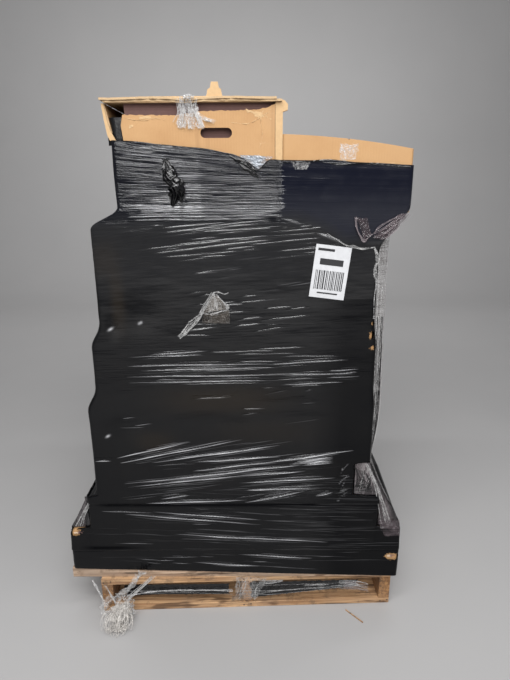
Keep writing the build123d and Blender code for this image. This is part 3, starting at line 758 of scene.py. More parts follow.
# Where brown board shows through the front, as (u, z, half width, half height, strength)
BROWN_SPOTS = ((-0.322, 1.112, 0.020, 0.090, 0.55), (-0.020, 0.800, 0.190, 0.045, 0.55),
               (-0.240, 0.655, 0.060, 0.035, 0.45), (-0.355, 1.240, 0.045, 0.050, 0.35),
               (0.120, 0.690, 0.160, 0.040, 0.25))
# Dark valleys between tiers, where the film's reflection is turned down as painted shade, as (height, first
# u, last u)
VALLEYS = ((0.421, -0.46, 0.37), (0.258, -0.52, -0.28))


def show_through(grid):
    """Where the brown cartons show through thin film, as blurred spots on the front."""
    total = sum(strength * bell(grid[..., 0], u, size_u, 3) * bell(grid[..., 2], z, size_z, 3)
                for u, z, size_u, size_z, strength in BROWN_SPOTS)
    return total * (grid[..., 1] < FRONT_EDGE)


def film_piece(name, grid, along, painted_sheen):
    """Black film from a load-frame grid, with the attributes that its material reads."""
    u, up = grid[..., 0], grid[..., 2]
    tall = up[1:] - up[:-1]
    cells = np.maximum(tall[:, 1:], tall[:, :-1]) > 0.05 * MM
    cells &= tear(u[:-1, :-1], up[:-1, :-1], TEARS) | (grid[:-1, :-1, 1] > FRONT_EDGE)
    slope = np.interp(up, PULL_HEIGHTS, PULL_SLOPES)
    crinkle = np.interp(up, PULL_HEIGHTS, CRINKLE)
    crinkle *= 1 - 0.95 * ((u > OPEN_BOX[1]) & (up > side_hem(u)))
    navy = ease(u, OPEN_BOX[1] - 6 * MM, 6 * MM) * ease(up, side_hem(u), 0.04)
    navy = np.maximum(navy, 0.35 * ease(up, 1.33, 0.03))
    quiet = (u > -0.06) & (u < OPEN_BOX[1]) & (up > CRINKLE_FOOT)
    gloss = np.interp(up, GLOSS_HEIGHTS, GLOSS) * np.where(quiet, 0.62, 1.0)
    gloss *= 1 - 0.45 * ease(u, 0.26, 0.10) * (up < 1.12)
    # Painted shade in the valleys between tiers: the film's reflection is turned down there
    for level, first, last in VALLEYS:
        gloss *= 1 - 0.85 * ease(u, first, 0.05) * ease(u, last, -0.10) * bell(up, level, 7 * MM)
    piece = grid_piece(name, to_world(grid), BLACK_FILM, cells,
                       {"pull": up - slope * along, "crinkle": crinkle, "painted_sheen": painted_sheen, "gloss": gloss,
                        "brown": show_through(grid), "navy": navy})
    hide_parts("black_wrap")
    return piece


def build_film():
    """The black film: four bands on the front and one skin for each other wall."""
    lines = front_lines()
    seams = [WRAP[4], 0.46, 0.90, CRINKLE_FOOT, FILM_TOP]
    for number, rows in enumerate((280, 400, 400, 240)):
        film_wall(f"black_film_front_{number + 1}", 0, rows, 125, lines, 3, seams[number],
                  seams[number + 1], 0.5)
    for name, edge, rows, columns, seed in (("front_right", 1, 300, 34, 21), ("right", 2, 280, 60, 22),
                                            ("rear", 3, 280, 90, 23), ("left", 4, 300, 110, 24)):
        film_wall(f"black_film_{name}", edge, rows, columns, side_lines(seed), 3, WRAP[4], FILM_TOP)


# Loose film: ribbons, patches and wads

def through(path, count):
    """Points of a smooth curve through the path."""
    path = np.asarray(path, float)
    ends = np.concatenate([[2 * path[0] - path[1]], path, [2 * path[-1] - path[-2]]])
    out = []
    for t in np.linspace(0, len(path) - 1 - 1e-9, count):
        k = int(t)
        t -= k
        p0, p1, p2, p3 = ends[k:k + 4]
        out.append(0.5 * (2 * p1 + (p2 - p0) * t + (2 * p0 - 5 * p1 + 4 * p2 - p3) * t ** 2
                          + (3 * p1 - p0 - 3 * p2 + p3) * t ** 3))
    return np.array(out)


def ribbon(name, path, widths, material, seed, turns=0.5, pleats=3, fold_depth=0.4, steps=70,
           across=12):
    """Gathered film along a path of (u, v, z) points: pleated, twisted and ragged."""
    rng = np.random.default_rng(seed)
    line = through(path, steps)
    t = np.linspace(0, 1, steps)
    tangent = np.gradient(line, axis=0)
    tangent /= np.linalg.norm(tangent, axis=1, keepdims=True)
    side = np.cross(tangent, [0.15, -1.0, 0.1])
    side /= np.linalg.norm(side, axis=1, keepdims=True)
    lift = np.cross(side, tangent)
    width = np.interp(t, np.linspace(0, 1, len(widths)), widths) / 2
    angle = turns * 2 * math.pi * t + rng.uniform(0, 6) + 0.6 * np.sin(t * 9 + rng.uniform(0, 6))
    s = np.linspace(-1, 1, across)
    phase = rng.uniform(0, 6) + 2.0 * np.sin(t * 6 + rng.uniform(0, 6))
    across_part = s[None, :] * (1 + 0.25 * np.sin(t * 23 + rng.uniform(0, 6)))[:, None]
    depth = fold_depth * np.sin(s[None, :] * math.pi * pleats / 2 + phase[:, None])
    x = across_part * np.cos(angle)[:, None] - depth * np.sin(angle)[:, None]
    y = across_part * np.sin(angle)[:, None] + depth * np.cos(angle)[:, None]
    grid = line[:, None] + side[:, None] * (x * width[:, None])[..., None] \
        + lift[:, None] * (y * width[:, None] * 0.6)[..., None]
    grid += wave_noise(grid, seed + 5, 0.02, 2, sharp=True)[..., None] * lift[:, None] * 1.2 * MM
    return grid_piece(name, to_world(grid), material)


def fibres(name, lines, count, width, material, seed, scatter=0.05, steps=18):
    """Thin fibres of drawn film: each of them crosses the given lines in turn."""
    rng = np.random.default_rng(seed)
    lines = [through(line, 60) for line in lines]
    points, faces = [], []
    for number in range(count):
        share = rng.uniform()
        marks = [line[int(59 * np.clip(share + rng.normal() * scatter, 0, 1))] for line in lines]
        curve = through(marks, steps)
        curve += wave_noise(curve, seed + number, 0.03, 2)[:, None] * np.array([1.2, 0.6, 1.2]) * MM
        curve[:, 1] -= rng.uniform(0, 3) * MM
        side = np.cross(np.gradient(curve, axis=0), [0.0, -1.0, 0.0])
        side /= np.linalg.norm(side, axis=1, keepdims=True)
        half = width * rng.uniform(0.3, 0.8) * (0.35 + 0.65 * np.sin(np.linspace(0.15, 2.9, steps)))[:, None]
        faces.append(grid_faces(steps, 2) + 2 * steps * number)
        points.append(np.stack([curve - side * half, curve + side * half], axis=1).reshape(-1, 3))
    return mesh_piece(name, to_world(np.concatenate(points)), np.concatenate(faces), material)


def patch(name, corners, material, seed, depth=3 * MM, scale=0.03, rows=50, columns=50, ragged=0.12,
          stretch=(1, 1, 1)):
    """Crumpled film over four corners: bottom left, bottom right, top right, top left."""
    low_left, low_right, high_right, high_left = (np.asarray(c, float) for c in corners)
    s, t = np.meshgrid(np.linspace(0, 1, columns), np.linspace(0, 1, rows))
    s = s[..., None]
    t = t[..., None]
    flat = (low_left * (1 - s) + low_right * s) * (1 - t) + (high_left * (1 - s) + high_right * s) * t
    normal = np.cross(low_right - low_left, high_left - low_left)
    normal /= np.linalg.norm(normal)
    lump = wave_noise(flat * np.array(stretch), seed, scale, 4, sharp=True)[..., None]
    grid = flat + normal * depth * lump
    bite = ragged * (0.5 + 0.5 * wave_noise(flat, seed + 1, scale * 1.4, 3)[..., None])
    rim_near = np.maximum(np.abs(2 * s - 1), np.abs(2 * t - 1))
    keep = (rim_near < 1.001 - bite)[..., 0]
    cells = keep[1:, 1:] & keep[:-1, :-1] & keep[1:, :-1] & keep[:-1, 1:]
    return grid_piece(name, to_world(grid), material, cells)


def wad(name, centre, radii, material, seed):
    """A crumpled ball of film round a row-frame centre."""
    rings, depth = 40, 0.35
    lat = np.linspace(-math.pi / 2, math.pi / 2, rings)
    lon = np.linspace(0, 2 * math.pi, rings * 2)
    ball = np.stack([np.outer(np.cos(lat), np.cos(lon)), np.outer(np.cos(lat), np.sin(lon)),
                     np.outer(np.sin(lat), np.ones_like(lon))], axis=-1)
    swell = 1 - depth + depth * wave_noise(ball, seed, 1.1, 4, sharp=True)
    pull = 1 + 0.25 * wave_noise(ball, seed + 9, 2.2, 2)
    grid = np.asarray(centre) + ball * (swell * pull)[..., None] * np.asarray(radii)
    grid[..., 2] = np.maximum(grid[..., 2], 0.8 * MM)
    return grid_piece(name, grid, material)


def rails(v, *lines):
    """Lines (u0, z0, u1, z1) at one depth, each as two (u, v, z) points."""
    return [at(v, line[:2], line[2:]) for line in lines]


FACE = LOW[2] - 5 * MM


def build_twist():
    """Twist of clear film on the high carton."""
    stems = (("stem", 0.6, 4, (0.006, 0.011, 0.009, 0.013, 0.011),
              ((-0.036, 4, 1.143), (-0.065, 4, 1.098), (-0.090, 3, 1.057), (-0.123, 2, 1.020),
               (-0.145, 0, 1.006))),
             ("stem_under", 0.9, 3, (0.004, 0.007, 0.008, 0.006),
              ((-0.080, 2, 1.078), (-0.106, 2, 1.056), (-0.128, 1, 1.031), (-0.142, 0, 1.010))),
             ("arm", 0.5, 3, (0.007, 0.007, 0.006, 0.005),
              ((-0.036, 4, 1.143), (-0.021, 3, 1.144), (-0.006, 2, 1.138), (0.008, 0, 1.141))),
             ("edge", 0.6, 3, (0.005, 0.006, 0.012), ((-0.030, 4, 1.138), (-0.011, 4, 1.118),
                                                      (0.006, 3, 1.100))),
             ("loop", 0.6, 3, (0.005, 0.007, 0.006, 0.008),
              ((-0.073, 4, 1.081), (-0.043, 6, 1.078), (-0.012, 6, 1.088), (0.005, 4, 1.092))))
    twist = [ribbon(f"twist_{name}", lifted(FACE, *path), widths, CLEAR_FILM, seed, turns,
                    pleats)
             for seed, (name, turns, pleats, widths, path) in enumerate(stems, 31)]
    twist.append(wad("twist_knob", to_world([0.004, FACE - 6 * MM, 1.100]), (0.010, 0.004, 0.012), CLEAR_FILM,
                     30))
    near = FACE - 4 * MM
    twist.append(patch("twist_web", at(near, (-0.070, 1.080), (0.004, 1.092), (-0.020, 1.130),
                                       (-0.040, 1.138)),
                       WEB_FILM, 36, 2 * MM, 0.02, ragged=0.04))
    twist.append(patch("twist_veil", at(near, (-0.076, 1.050), (0.012, 1.046), (0.012, 1.092),
                                        (-0.071, 1.079)),
                       BROWN_VEIL, 39, 1.5 * MM, 0.02))
    bunches = (("fibres", 8, 1.2 * MM, FIBRE, 37, 0.16,
                ((-0.042, 1.146, -0.032, 1.140), (-0.070, 1.100, -0.060, 1.094),
                 (-0.096, 1.059, -0.086, 1.052),
                 (-0.150, 1.011, -0.139, 1.002))),
               ("web_fibres", 11, 1.2 * MM, FIBRE, 38, 0.12,
                ((-0.041, 1.144, -0.028, 1.138), (-0.056, 1.102, -0.002, 1.108),
                 (-0.066, 1.080, 0.004, 1.092))),
               ("veil_fibres", 7, 1.0 * MM, VEIL, 42, 0.10,
                ((-0.060, 1.078, 0.012, 1.090), (-0.064, 1.050, 0.012, 1.050))))
    for name, count, width, material, seed, scatter, lines in bunches:
        twist.append(fibres(f"twist_{name}", rails(near, *lines), count, width, material, seed,
                            scatter))
    for piece in twist:
        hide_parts("clear_film_twist")


def build_sash():
    """Sash of clear film from the lid of the open carton down its front."""
    top_edge = lifted(FACE, (-0.118, 14, 1.664), (-0.090, 18, 1.674), (-0.062, 14, 1.664))
    waist = lifted(FACE, (-0.118, 5, 1.640), (-0.092, 6, 1.638), (-0.068, 5, 1.640))
    foot = lifted(FACE, (-0.132, 1, 1.606), (-0.094, 1, 1.590), (-0.042, 1, 1.594))
    drift = lifted(FACE, (-0.060, 2, 1.612), (-0.052, 2, 1.622))
    tail_foot = lifted(FACE, (-0.024, 1, 1.600), (-0.016, 1, 1.610))
    veil = lifted(FACE, (-0.132, 0, 1.588), (-0.040, 0, 1.584), (-0.062, 4, 1.658), (-0.116, 4, 1.658))
    sash = [fibres("sash_fibres", [top_edge, waist, foot], 34, 1.4 * MM, FIBRE, 40, 0.10),
            fibres("sash_wisps", [waist, foot], 16, 2.6 * MM, CLEAR_FILM, 41, 0.20),
            fibres("sash_tail", [waist[1:], drift, tail_foot], 9, 1.6 * MM, FIBRE, 48, 0.15),
            wad("sash_tuft", to_world([-0.088, FACE - 14 * MM, 1.668]), (0.024, 0.010, 0.010), CLEAR_FILM,
                42),
            patch("sash_veil", veil, CLEAR_FILM, 47, 3 * MM, 0.022, ragged=0.3)]
    for piece in sash:
        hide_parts("clear_film_sash")


def build_rim():
    """Film caught at the rim, tape on the flat carton, the loose edge of the overhang and the rolled rim."""
    patch("rim_scrap", at(FACE, (0.082, 1.470), (0.112, 1.470), (0.142, 1.520), (0.040, 1.526)), BLUE_HAZE,
          50, 4 * MM, 0.016, ragged=0.10)
    ribbon("rim_fold", lifted(FACE, (0.018, 1, 1.524), (0.045, 5, 1.506), (0.076, 5, 1.484),
                              (0.098, 1, 1.462)),
           (0.008, 0.018, 0.016, 0.005), SHINY_BLACK, 57, pleats=4)
    flat_face = FLAT_BOX[2] - 1.5 * MM
    patch("flat_tape", at(flat_face, (0.312, 1.503), (0.374, 1.502), (0.372, 1.553), (0.314, 1.556)),
          CLEAR_FILM,
          51, 1.2 * MM, 0.02, ragged=0.35)
    patch("rim_scrap_right", at(FACE, (0.196, 1.484), (0.232, 1.482), (0.246, 1.506), (0.176, 1.508)), VEIL,
          52, 2 * MM, 0.016, ragged=0.3)
    out, seam = FACE - 5 * MM, FACE - 8 * MM
    patch("overhang_fringe", at(out, (0.418, 1.298), (0.458, 1.290), (0.524, 1.366), (0.492, 1.364)),
          MAUVE_FILM,
          53, 1.5 * MM, 0.03, ragged=0.08)
    patch("overhang_fold", at(out, (0.396, 1.290), (0.419, 1.308), (0.404, 1.355), (0.370, 1.358)),
          MAUVE_FILM,
          54, 2.5 * MM, 0.02, ragged=0.24)
    lines = rails(seam, (0.408, 1.322, 0.450, 1.290), (0.440, 1.334, 0.482, 1.314),
                  (0.497, 1.366, 0.526, 1.364))
    fibres("overhang_fibres", lines, 10, 1.5 * MM, PINK_FILM, 58, 0.10, 40)
    path = at(seam, (0.370, 1.357), (0.372, 1.335), (0.379, 1.314), (0.396, 1.291), (0.404, 1.296),
              (0.419, 1.310))
    ribbon("overhang_edge", path, (0.006, 0.009, 0.010, 0.008, 0.006), PINK_FILM, 59, turns=0.2)
    path = at(seam, (0.290, 1.312), (0.344, 1.280), (0.363, 1.276), (0.395, 1.269), (0.429, 1.272))
    ribbon("overhang_hem", path, (0.002, 0.004, 0.008, 0.009, 0.005), FIBRE, 57, turns=0.3,
           pleats=2)
    path = at(FACE, (0.430, 1.268), (0.440, 1.240), (0.434, 1.205), (0.441, 1.170), (0.437, 1.120),
              (0.440, 1.06))
    ribbon("edge_crumple", path, (0.016, 0.010, 0.012, 0.008, 0.005, 0.004), CLEAR_FILM, 55,
           turns=0.6, pleats=4)
    steps_u = np.linspace(OPEN_LEFT + 6 * MM, FLAT_BOX[1] - 8 * MM, 26)
    ribbon("rim_roll", [(u, FACE + 1 * MM, rim(u) - 3 * MM) for u in steps_u],
           (0.016, 0.010, 0.014, 0.008, 0.012, 0.007), SHINY_BLACK, 56, turns=2.4, pleats=4,
           fold_depth=0.35, steps=260, across=10)


def build_tail():
    """Black tail of the film on the open carton: four crumpled strips."""
    tail = []
    strips = ((0.0, -0.145, 1.389, 0.026), (0.010, -0.118, 1.402, 0.024), (-0.004, -0.152, 1.415, 0.020),
              (0.014, -0.108, 1.425, 0.018))
    for number, (shift, foot_u, foot_z, wide) in enumerate(strips):
        path = lifted(FACE, (-0.159 + shift * 0.3, 4, 1.515), (-0.152 + shift, 9, 1.475),
                      (-0.132 + shift, 12, 1.438), (foot_u, 6, foot_z))
        tail.append(ribbon(f"black_tail_{number}", path, (0.010, wide * 1.2, wide * 1.5, 0.008), SHINY_BLACK,
                           60 + number, turns=0.8, pleats=6, fold_depth=0.6, across=20))
    for piece in tail:
        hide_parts("black_film_tail")


def build_bundle():
    """Bundle of clear film on the floor, tied up to the planks."""
    knot = (-0.400, -0.640, 0.078)
    bundle = [wad("bundle_head", (-0.434, -0.678, 0.050), (0.060, 0.040, 0.054), BUNDLE_FILM,
                  70),
              wad("bundle_foot", (-0.442, -0.700, 0.018), (0.052, 0.028, 0.020), BUNDLE_FILM,
                  71),
              wad("bundle_shell", (-0.414, -0.660, 0.046), (0.052, 0.036, 0.048), CLEAR_FILM,
                  72)]
    strands = (((0.030, 0.018, 0.018, 0.026),
                (knot, (-0.358, -0.636, 0.108), (-0.330, -0.632, 0.140), (-0.308, -0.630, 0.172))),
               ((0.022, 0.018, 0.016, 0.020),
                (knot, (-0.364, -0.640, 0.102), (-0.342, -0.636, 0.132), (-0.326, -0.633, 0.160))),
               ((0.016, 0.010, 0.008, 0.012), ((-0.432, -0.672, 0.064), (-0.450, -0.655, 0.088),
                                               (-0.468, -0.640, 0.110), (-0.487, -0.626, 0.132))),
               ((0.014, 0.022, 0.022, 0.012),
                (knot, (-0.365, -0.640, 0.066), (-0.352, -0.644, 0.044), (-0.382, -0.650, 0.036))),
               ((0.018, 0.030, 0.030, 0.016),
                (knot, (-0.430, -0.655, 0.070), (-0.446, -0.662, 0.040), (-0.430, -0.668, 0.012))),
               ((0.018, 0.030, 0.028, 0.014),
                (knot, (-0.395, -0.664, 0.060), (-0.398, -0.674, 0.030), (-0.410, -0.676, 0.008))))
    for number, (widths, path) in enumerate(strands):
        bundle.append(ribbon(f"bundle_strand_{number}", path, widths, CLEAR_FILM, 80 + number,
                             turns=0.7, pleats=5))
    floor = from_world([(-0.492, -0.705, 0.014), (-0.442, -0.726, 0.003), (-0.392, -0.705, 0.012)])
    waist = from_world([(-0.490, -0.692, 0.056), (-0.436, -0.712, 0.064), (-0.388, -0.700, 0.050)])
    neck = from_world([(-0.430, -0.660, 0.086), (-0.408, -0.660, 0.088)])
    plank = from_world([(-0.340, -0.640, 0.166), (-0.312, -0.640, 0.172)])
    middle = from_world([(-0.440, -0.672, 0.060), (-0.426, -0.672, 0.066)])
    left = from_world([(-0.480, -0.634, 0.128), (-0.490, -0.634, 0.134)])
    for name, lines, count, width, material, seed, scatter in (
            ("fibres", [neck, waist, floor], 44, 1.6 * MM, BUNDLE_FILM, 73, 0.30),
            ("rise", [neck, plank], 16, 1.8 * MM, FIBRE, 74, 0.25),
            ("left", [middle, left], 5, 1.6 * MM, FIBRE, 75, 0.25)):
        bundle.append(fibres(f"bundle_{name}", lines, count, width, material, seed, scatter))
    for piece in bundle:
        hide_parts("clear_film_bundle")


def build_fork_film():
    """Strips, fibres and scraps of film across the fork openings."""
    face = -0.612
    patch("fork_strip_left", at(face, (-0.385, 0.052), (-0.004, 0.056), (-0.004, 0.107), (-0.385, 0.102)),
          SHINY_BLACK, 90, 2 * MM, 0.06, 16, 120, 0.06, (1, 1, 3))
    ribbon("fork_edge_left", lifted(face, (-0.375, 2, 0.054), (-0.30, 2, 0.068), (-0.22, 2, 0.077),
                                    (-0.10, 1, 0.077), (0.0, 1, 0.072)),
           (0.010, 0.010, 0.006, 0.005, 0.007), HAZE_FILM, 91, turns=0.1)
    patch("fork_strip_right", at(face, (0.055, 0.038), (0.450, 0.092), (0.450, 0.122), (0.055, 0.112)),
          SHINY_BLACK, 92, 3 * MM, 0.05, 20, 130, 0.08, (1, 1, 3))
    bunches = ((5, (-0.40, 0.058, -0.40, 0.080), (-0.20, 0.070, -0.20, 0.080), (0.0, 0.062, 0.0, 0.086)),
               (5, (0.020, 0.046, 0.030, 0.110), (0.16, 0.058, 0.16, 0.108), (0.44, 0.094, 0.44, 0.120)),
               (9, (0.090, 0.100, 0.096, 0.130), (0.130, 0.108, 0.135, 0.126), (0.176, 0.118, 0.178, 0.126)),
               (4, (0.250, 0.098, 0.250, 0.104), (0.290, 0.102, 0.290, 0.108), (0.338, 0.103, 0.338, 0.109)),
               (12, (0.372, 0.088, 0.372, 0.122), (0.43, 0.088, 0.43, 0.120), (0.478, 0.074, 0.474, 0.110)),
               (6, (0.005, 0.040, 0.080, 0.040), (0.024, 0.092, 0.090, 0.096), (0.020, 0.138, 0.130, 0.138)))
    for number, (count, *lines) in enumerate(bunches):
        fibres(f"fork_fibres_{number}", rails(face - 5 * MM, *lines), count, 1.5 * MM, FIBRE,
               93 + number, 0.14, 40)
    patch("fork_veil", lifted(face, (0.004, 4, 0.030), (0.085, 3, 0.034), (0.130, 3, 0.136),
                              (0.008, 4, 0.138)),
          VEIL, 100, 3 * MM, 0.03, 50, 50, 0.14, (1, 1, 1.4))
    patch("fork_shadow", at(face - 6 * MM, (-0.008, 0.032), (0.042, 0.036), (0.040, 0.060), (-0.006, 0.058)),
          BROWN_VEIL, 102, 2 * MM, 0.02, ragged=0.25)
    patch("fork_fray", at(face - 4 * MM, (0.385, 0.080), (0.480, 0.072), (0.476, 0.112), (0.390, 0.120)),
          SMOKE_FILM, 101, 4 * MM, 0.018, ragged=0.2)


def bridge(name, node, heights, pairs, edges, seed, dark):
    """See-through film between corner columns, each given as its (u, v) per height, crumpled a little."""
    corners = [np.stack(pair, axis=-1) for pair in pairs]
    for edge, columns in edges:
        grid = wall_grid(corners, edge, heights, columns, radius=8 * MM)
        lump = wave_noise(grid * np.array([1, 1, 0.3]), seed + edge, 0.022, 3, sharp=True)
        grid[..., :2] += outward(grid) * (lump * 1.4 * MM)[..., None]
        u, v, z = grid[..., 0], grid[..., 1], grid[..., 2]
        share = (u - u.min(axis=1, keepdims=True)) / np.maximum(np.ptp(u, axis=1, keepdims=True), MM)
        # Painted shade: darker further back into the recess, with a dark band and a darker far end as well
        murk_and_shade = dark + 3.0 * (v - LOW[2] - 0.03)
        murk_and_shade += 0.75 * bell(z, 0.468, 0.022) * (share < 0.75)
        murk_and_shade += 0.8 * ease(share, 0.72, 0.12)
        piece = grid_piece(f"{name}_{edge}", to_world(grid), BRIDGE_FILM,
                           attributes={"murk_and_shade": np.clip(murk_and_shade, 0, 1)})
        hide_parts(node)


def build_right_bridge():
    """See-through film that spans the recess at the right, with its creases, hem and skirt."""
    z = np.linspace(BASE[5] + 5 * MM, THIRD_TOP - 7 * MM, 120)
    outer = np.interp(z, [BASE[5], 0.348, 0.400, 0.455, 0.543, 0.598],
                      [0.571, 0.567, 0.546, 0.514, 0.472, 0.451])
    inner = np.where(z < SECOND[5] + 6 * MM, SECOND[1], THIRD[1] + 6 * MM) + SKIN + 1 * MM
    inner = np.minimum(inner, outer - 2 * MM)
    front, rear = np.full_like(z, LOW[2]), np.full_like(z, FRONT_BACK)
    reach = np.interp(z, [BASE[5], THIRD_TOP], [0.545, 0.500])
    bridge("bridge_right", "film_bridge_right", z,
           ((inner, front), (outer, front), (reach, rear), (inner, rear)), ((0, 30), (1, 60)), 101, 0.05)
    near, skirt, ledge = LOW[2] - 3 * MM, BASE[2] - 5 * MM, BASE[5] + 3 * MM
    bunches = (("fan", 10, 1.5, FIBRE, 109, 0.10,
                ((0.440, 0.572, 0.452, 0.572), (0.476, 0.478, 0.500, 0.480), (0.500, 0.340, 0.562, 0.330))),
               ("crumple_0", 7, 2.4, SHINY_BLACK, 110, 0.20,
                ((0.408, 0.560, 0.440, 0.545), (0.420, 0.520, 0.462, 0.505), (0.412, 0.486, 0.452, 0.470))),
               ("crumple_1", 7, 1.4, FIBRE, 115, 0.20,
                ((0.416, 0.560, 0.470, 0.545), (0.420, 0.520, 0.462, 0.505), (0.410, 0.466, 0.462, 0.470))),
               ("folds", 7, 2.6, SHINY_BLACK, 118, 0.12,
                ((0.412, 0.520, 0.412, 0.474), (0.438, 0.528, 0.440, 0.470), (0.466, 0.505, 0.470, 0.466))))
    for name, count, width, material, seed, scatter, lines in bunches:
        fibres(f"bridge_{name}", rails(near, *lines), count, width * MM, material, seed,
               scatter, 30)
    edge_line = [(np.interp(height, z, outer), LOW[2] - 2 * MM, height) for height in np.linspace(0.335,
                                                                                                  0.572, 12)]
    ribbon("bridge_hem", edge_line, (0.006, 0.005, 0.004, 0.006), SHINY_BLACK, 112, turns=0.3,
           pleats=2)
    patch("bridge_skirt", at(skirt, (0.520, 0.300), (0.573, 0.303), (0.573, ledge), (0.504, ledge)),
          MAUVE_FILM,
          113, 1 * MM, 0.03, ragged=0.10)
    patch("bridge_ledge", at(skirt, (0.504, ledge), (0.573, ledge)) + at(near, (0.572, 0.358),
                                                                         (0.495, 0.358)),
          MAUVE_FILM, 114, 1 * MM, 0.03)


def build_left_bridge():
    """See-through film that spans the recess at the left, with a fan of fibres."""
    z = np.linspace(BASE[5] + 5 * MM, SECOND[5] + 3 * MM, 60)
    outer = np.interp(z, [BASE[5], SECOND[5]], [BASE[0], SECOND[0] - 2 * SKIN])
    inner = np.full_like(z, SECOND[0] - SKIN + 1 * MM)
    front, rear = np.full_like(z, LOW[2]), np.full_like(z, SECOND[3])
    bridge("bridge_left", "film_bridge_left", z,
           ((inner, rear), (outer, rear), (outer, front), (inner, front)), ((1, 60), (2, 16)), 105, 0.75)
    foot_u, top_u = BASE[0] + 14 * MM, SECOND[0] + 4 * MM
    middle_u = 0.5 * (foot_u + top_u)
    lines = rails(LOW[2] - 3 * MM, (top_u, 0.436, top_u + 12 * MM, 0.436),
                  (middle_u, 0.385, middle_u + 14 * MM, 0.385),
                  (foot_u, 0.338, foot_u + 26 * MM, 0.336))
    fibres("bridge_left_fan", lines, 9, 1.6 * MM, FIBRE, 111, 0.15, 24)


def build_flank():
    """Ribbed strip of film down the right flank."""
    face = LOW[2] + 16 * MM
    inner = at(face, (0.441, 1.300), (0.443, 1.200), (0.446, 1.060), (0.449, 0.930), (0.450, 0.760),
               (0.447, 0.590))
    outer = at(face + 12 * MM, (0.478, 1.310), (0.477, 1.200), (0.479, 1.060), (0.482, 0.920), (0.484, 0.750),
               (0.465, 0.572))
    fibres("flank_rungs", [inner[:3], outer[:3]], 105, 1.1 * MM, RIB_FIBRE, 106, 0.004, 8)
    fibres("flank_rungs_low", [inner[2:4], outer[2:4]], 30, 0.9 * MM, RIB_FIBRE, 121, 0.06, 8)
    across = [[inner[k], outer[k]] for k in (0, 2, 4, 5)]
    fibres("flank_edges", across, 12, 1.5 * MM, FIBRE, 107, 0.06, 60)
    fibres("flank_streaks", across[1:], 22, 1.5 * MM, SHINY_BLACK, 109, 0.10, 60)
    grid = np.linspace(through(inner, 90), through(outer, 90), 8, axis=1)
    grid[..., 1] += wave_noise(grid, 108, 0.03, 3, sharp=True) * 1.5 * MM
    grid_piece("flank_veil", to_world(grid), RIBBED_FILM)


# Board: plates cut from outlines, with fluted edges

def plate(name, outline, place, thickness, holes=(), material=CARDBOARD):
    """A board plate from an outline of (a, b) points; place maps (a, b, depth) to (u, v, z)."""
    loops = [outline] + [list(hole) for hole in holes]
    flat = [point for loop in loops for point in loop]
    triangles = tessellate_polygon([[Vector((a, b, 0)) for a, b in loop] for loop in loops])
    count = len(flat)
    points = [place(a, b, 0.0) for a, b in flat] + [place(a, b, thickness) for a, b in flat]
    faces = [tuple(t) for t in triangles] + [tuple(i + count for i in reversed(t)) for t in triangles]
    skin = len(faces)
    start = 0
    for loop in loops:
        for k in range(len(loop)):
            a, b = start + k, start + (k + 1) % len(loop)
            faces.append((a, b, b + count, a + count))
        start += len(loop)
    piece = mesh_piece(name, to_world(np.array(points)), faces, material, smooth=False)
    piece.data.materials.append(BOARD_EDGE)
    for k, polygon in enumerate(piece.data.polygons):
        polygon.material_index = 1 if k >= skin else 0
    bm = bmesh.new()
    bm.from_mesh(piece.data)
    bmesh.ops.recalc_face_normals(bm, faces=bm.faces)
    bm.to_mesh(piece.data)
    bm.free()
    return piece


def torn(points, seed, amount=1.4 * MM, step=5 * MM):
    """The line through the points with a ragged, torn edge."""
    rng = np.random.default_rng(seed)
    out = []
    for (a0, b0), (a1, b1) in zip(points[:-1], points[1:]):
        count = max(1, int(math.hypot(a1 - a0, b1 - b0) / step))
        for k in range(count):
            share = k / count
            drop = rng.uniform(-1, 1) * amount if k else 0
            out.append((a0 + (a1 - a0) * share, b0 + (b1 - b0) * share + drop))
    return out + [points[-1]]


def slot_hole(centre_a, centre_b, width, height, steps=10):
    """A rounded slot, clockwise."""
    radius = height / 2
    out = []
    for side in (1, -1):
        for k in range(steps + 1):
            angle = math.pi / 2 - math.pi * k / steps
            out.append((centre_a + side * (width / 2 - radius) + side * radius * math.cos(angle),
                        centre_b + side * radius * math.sin(angle)))
    return out


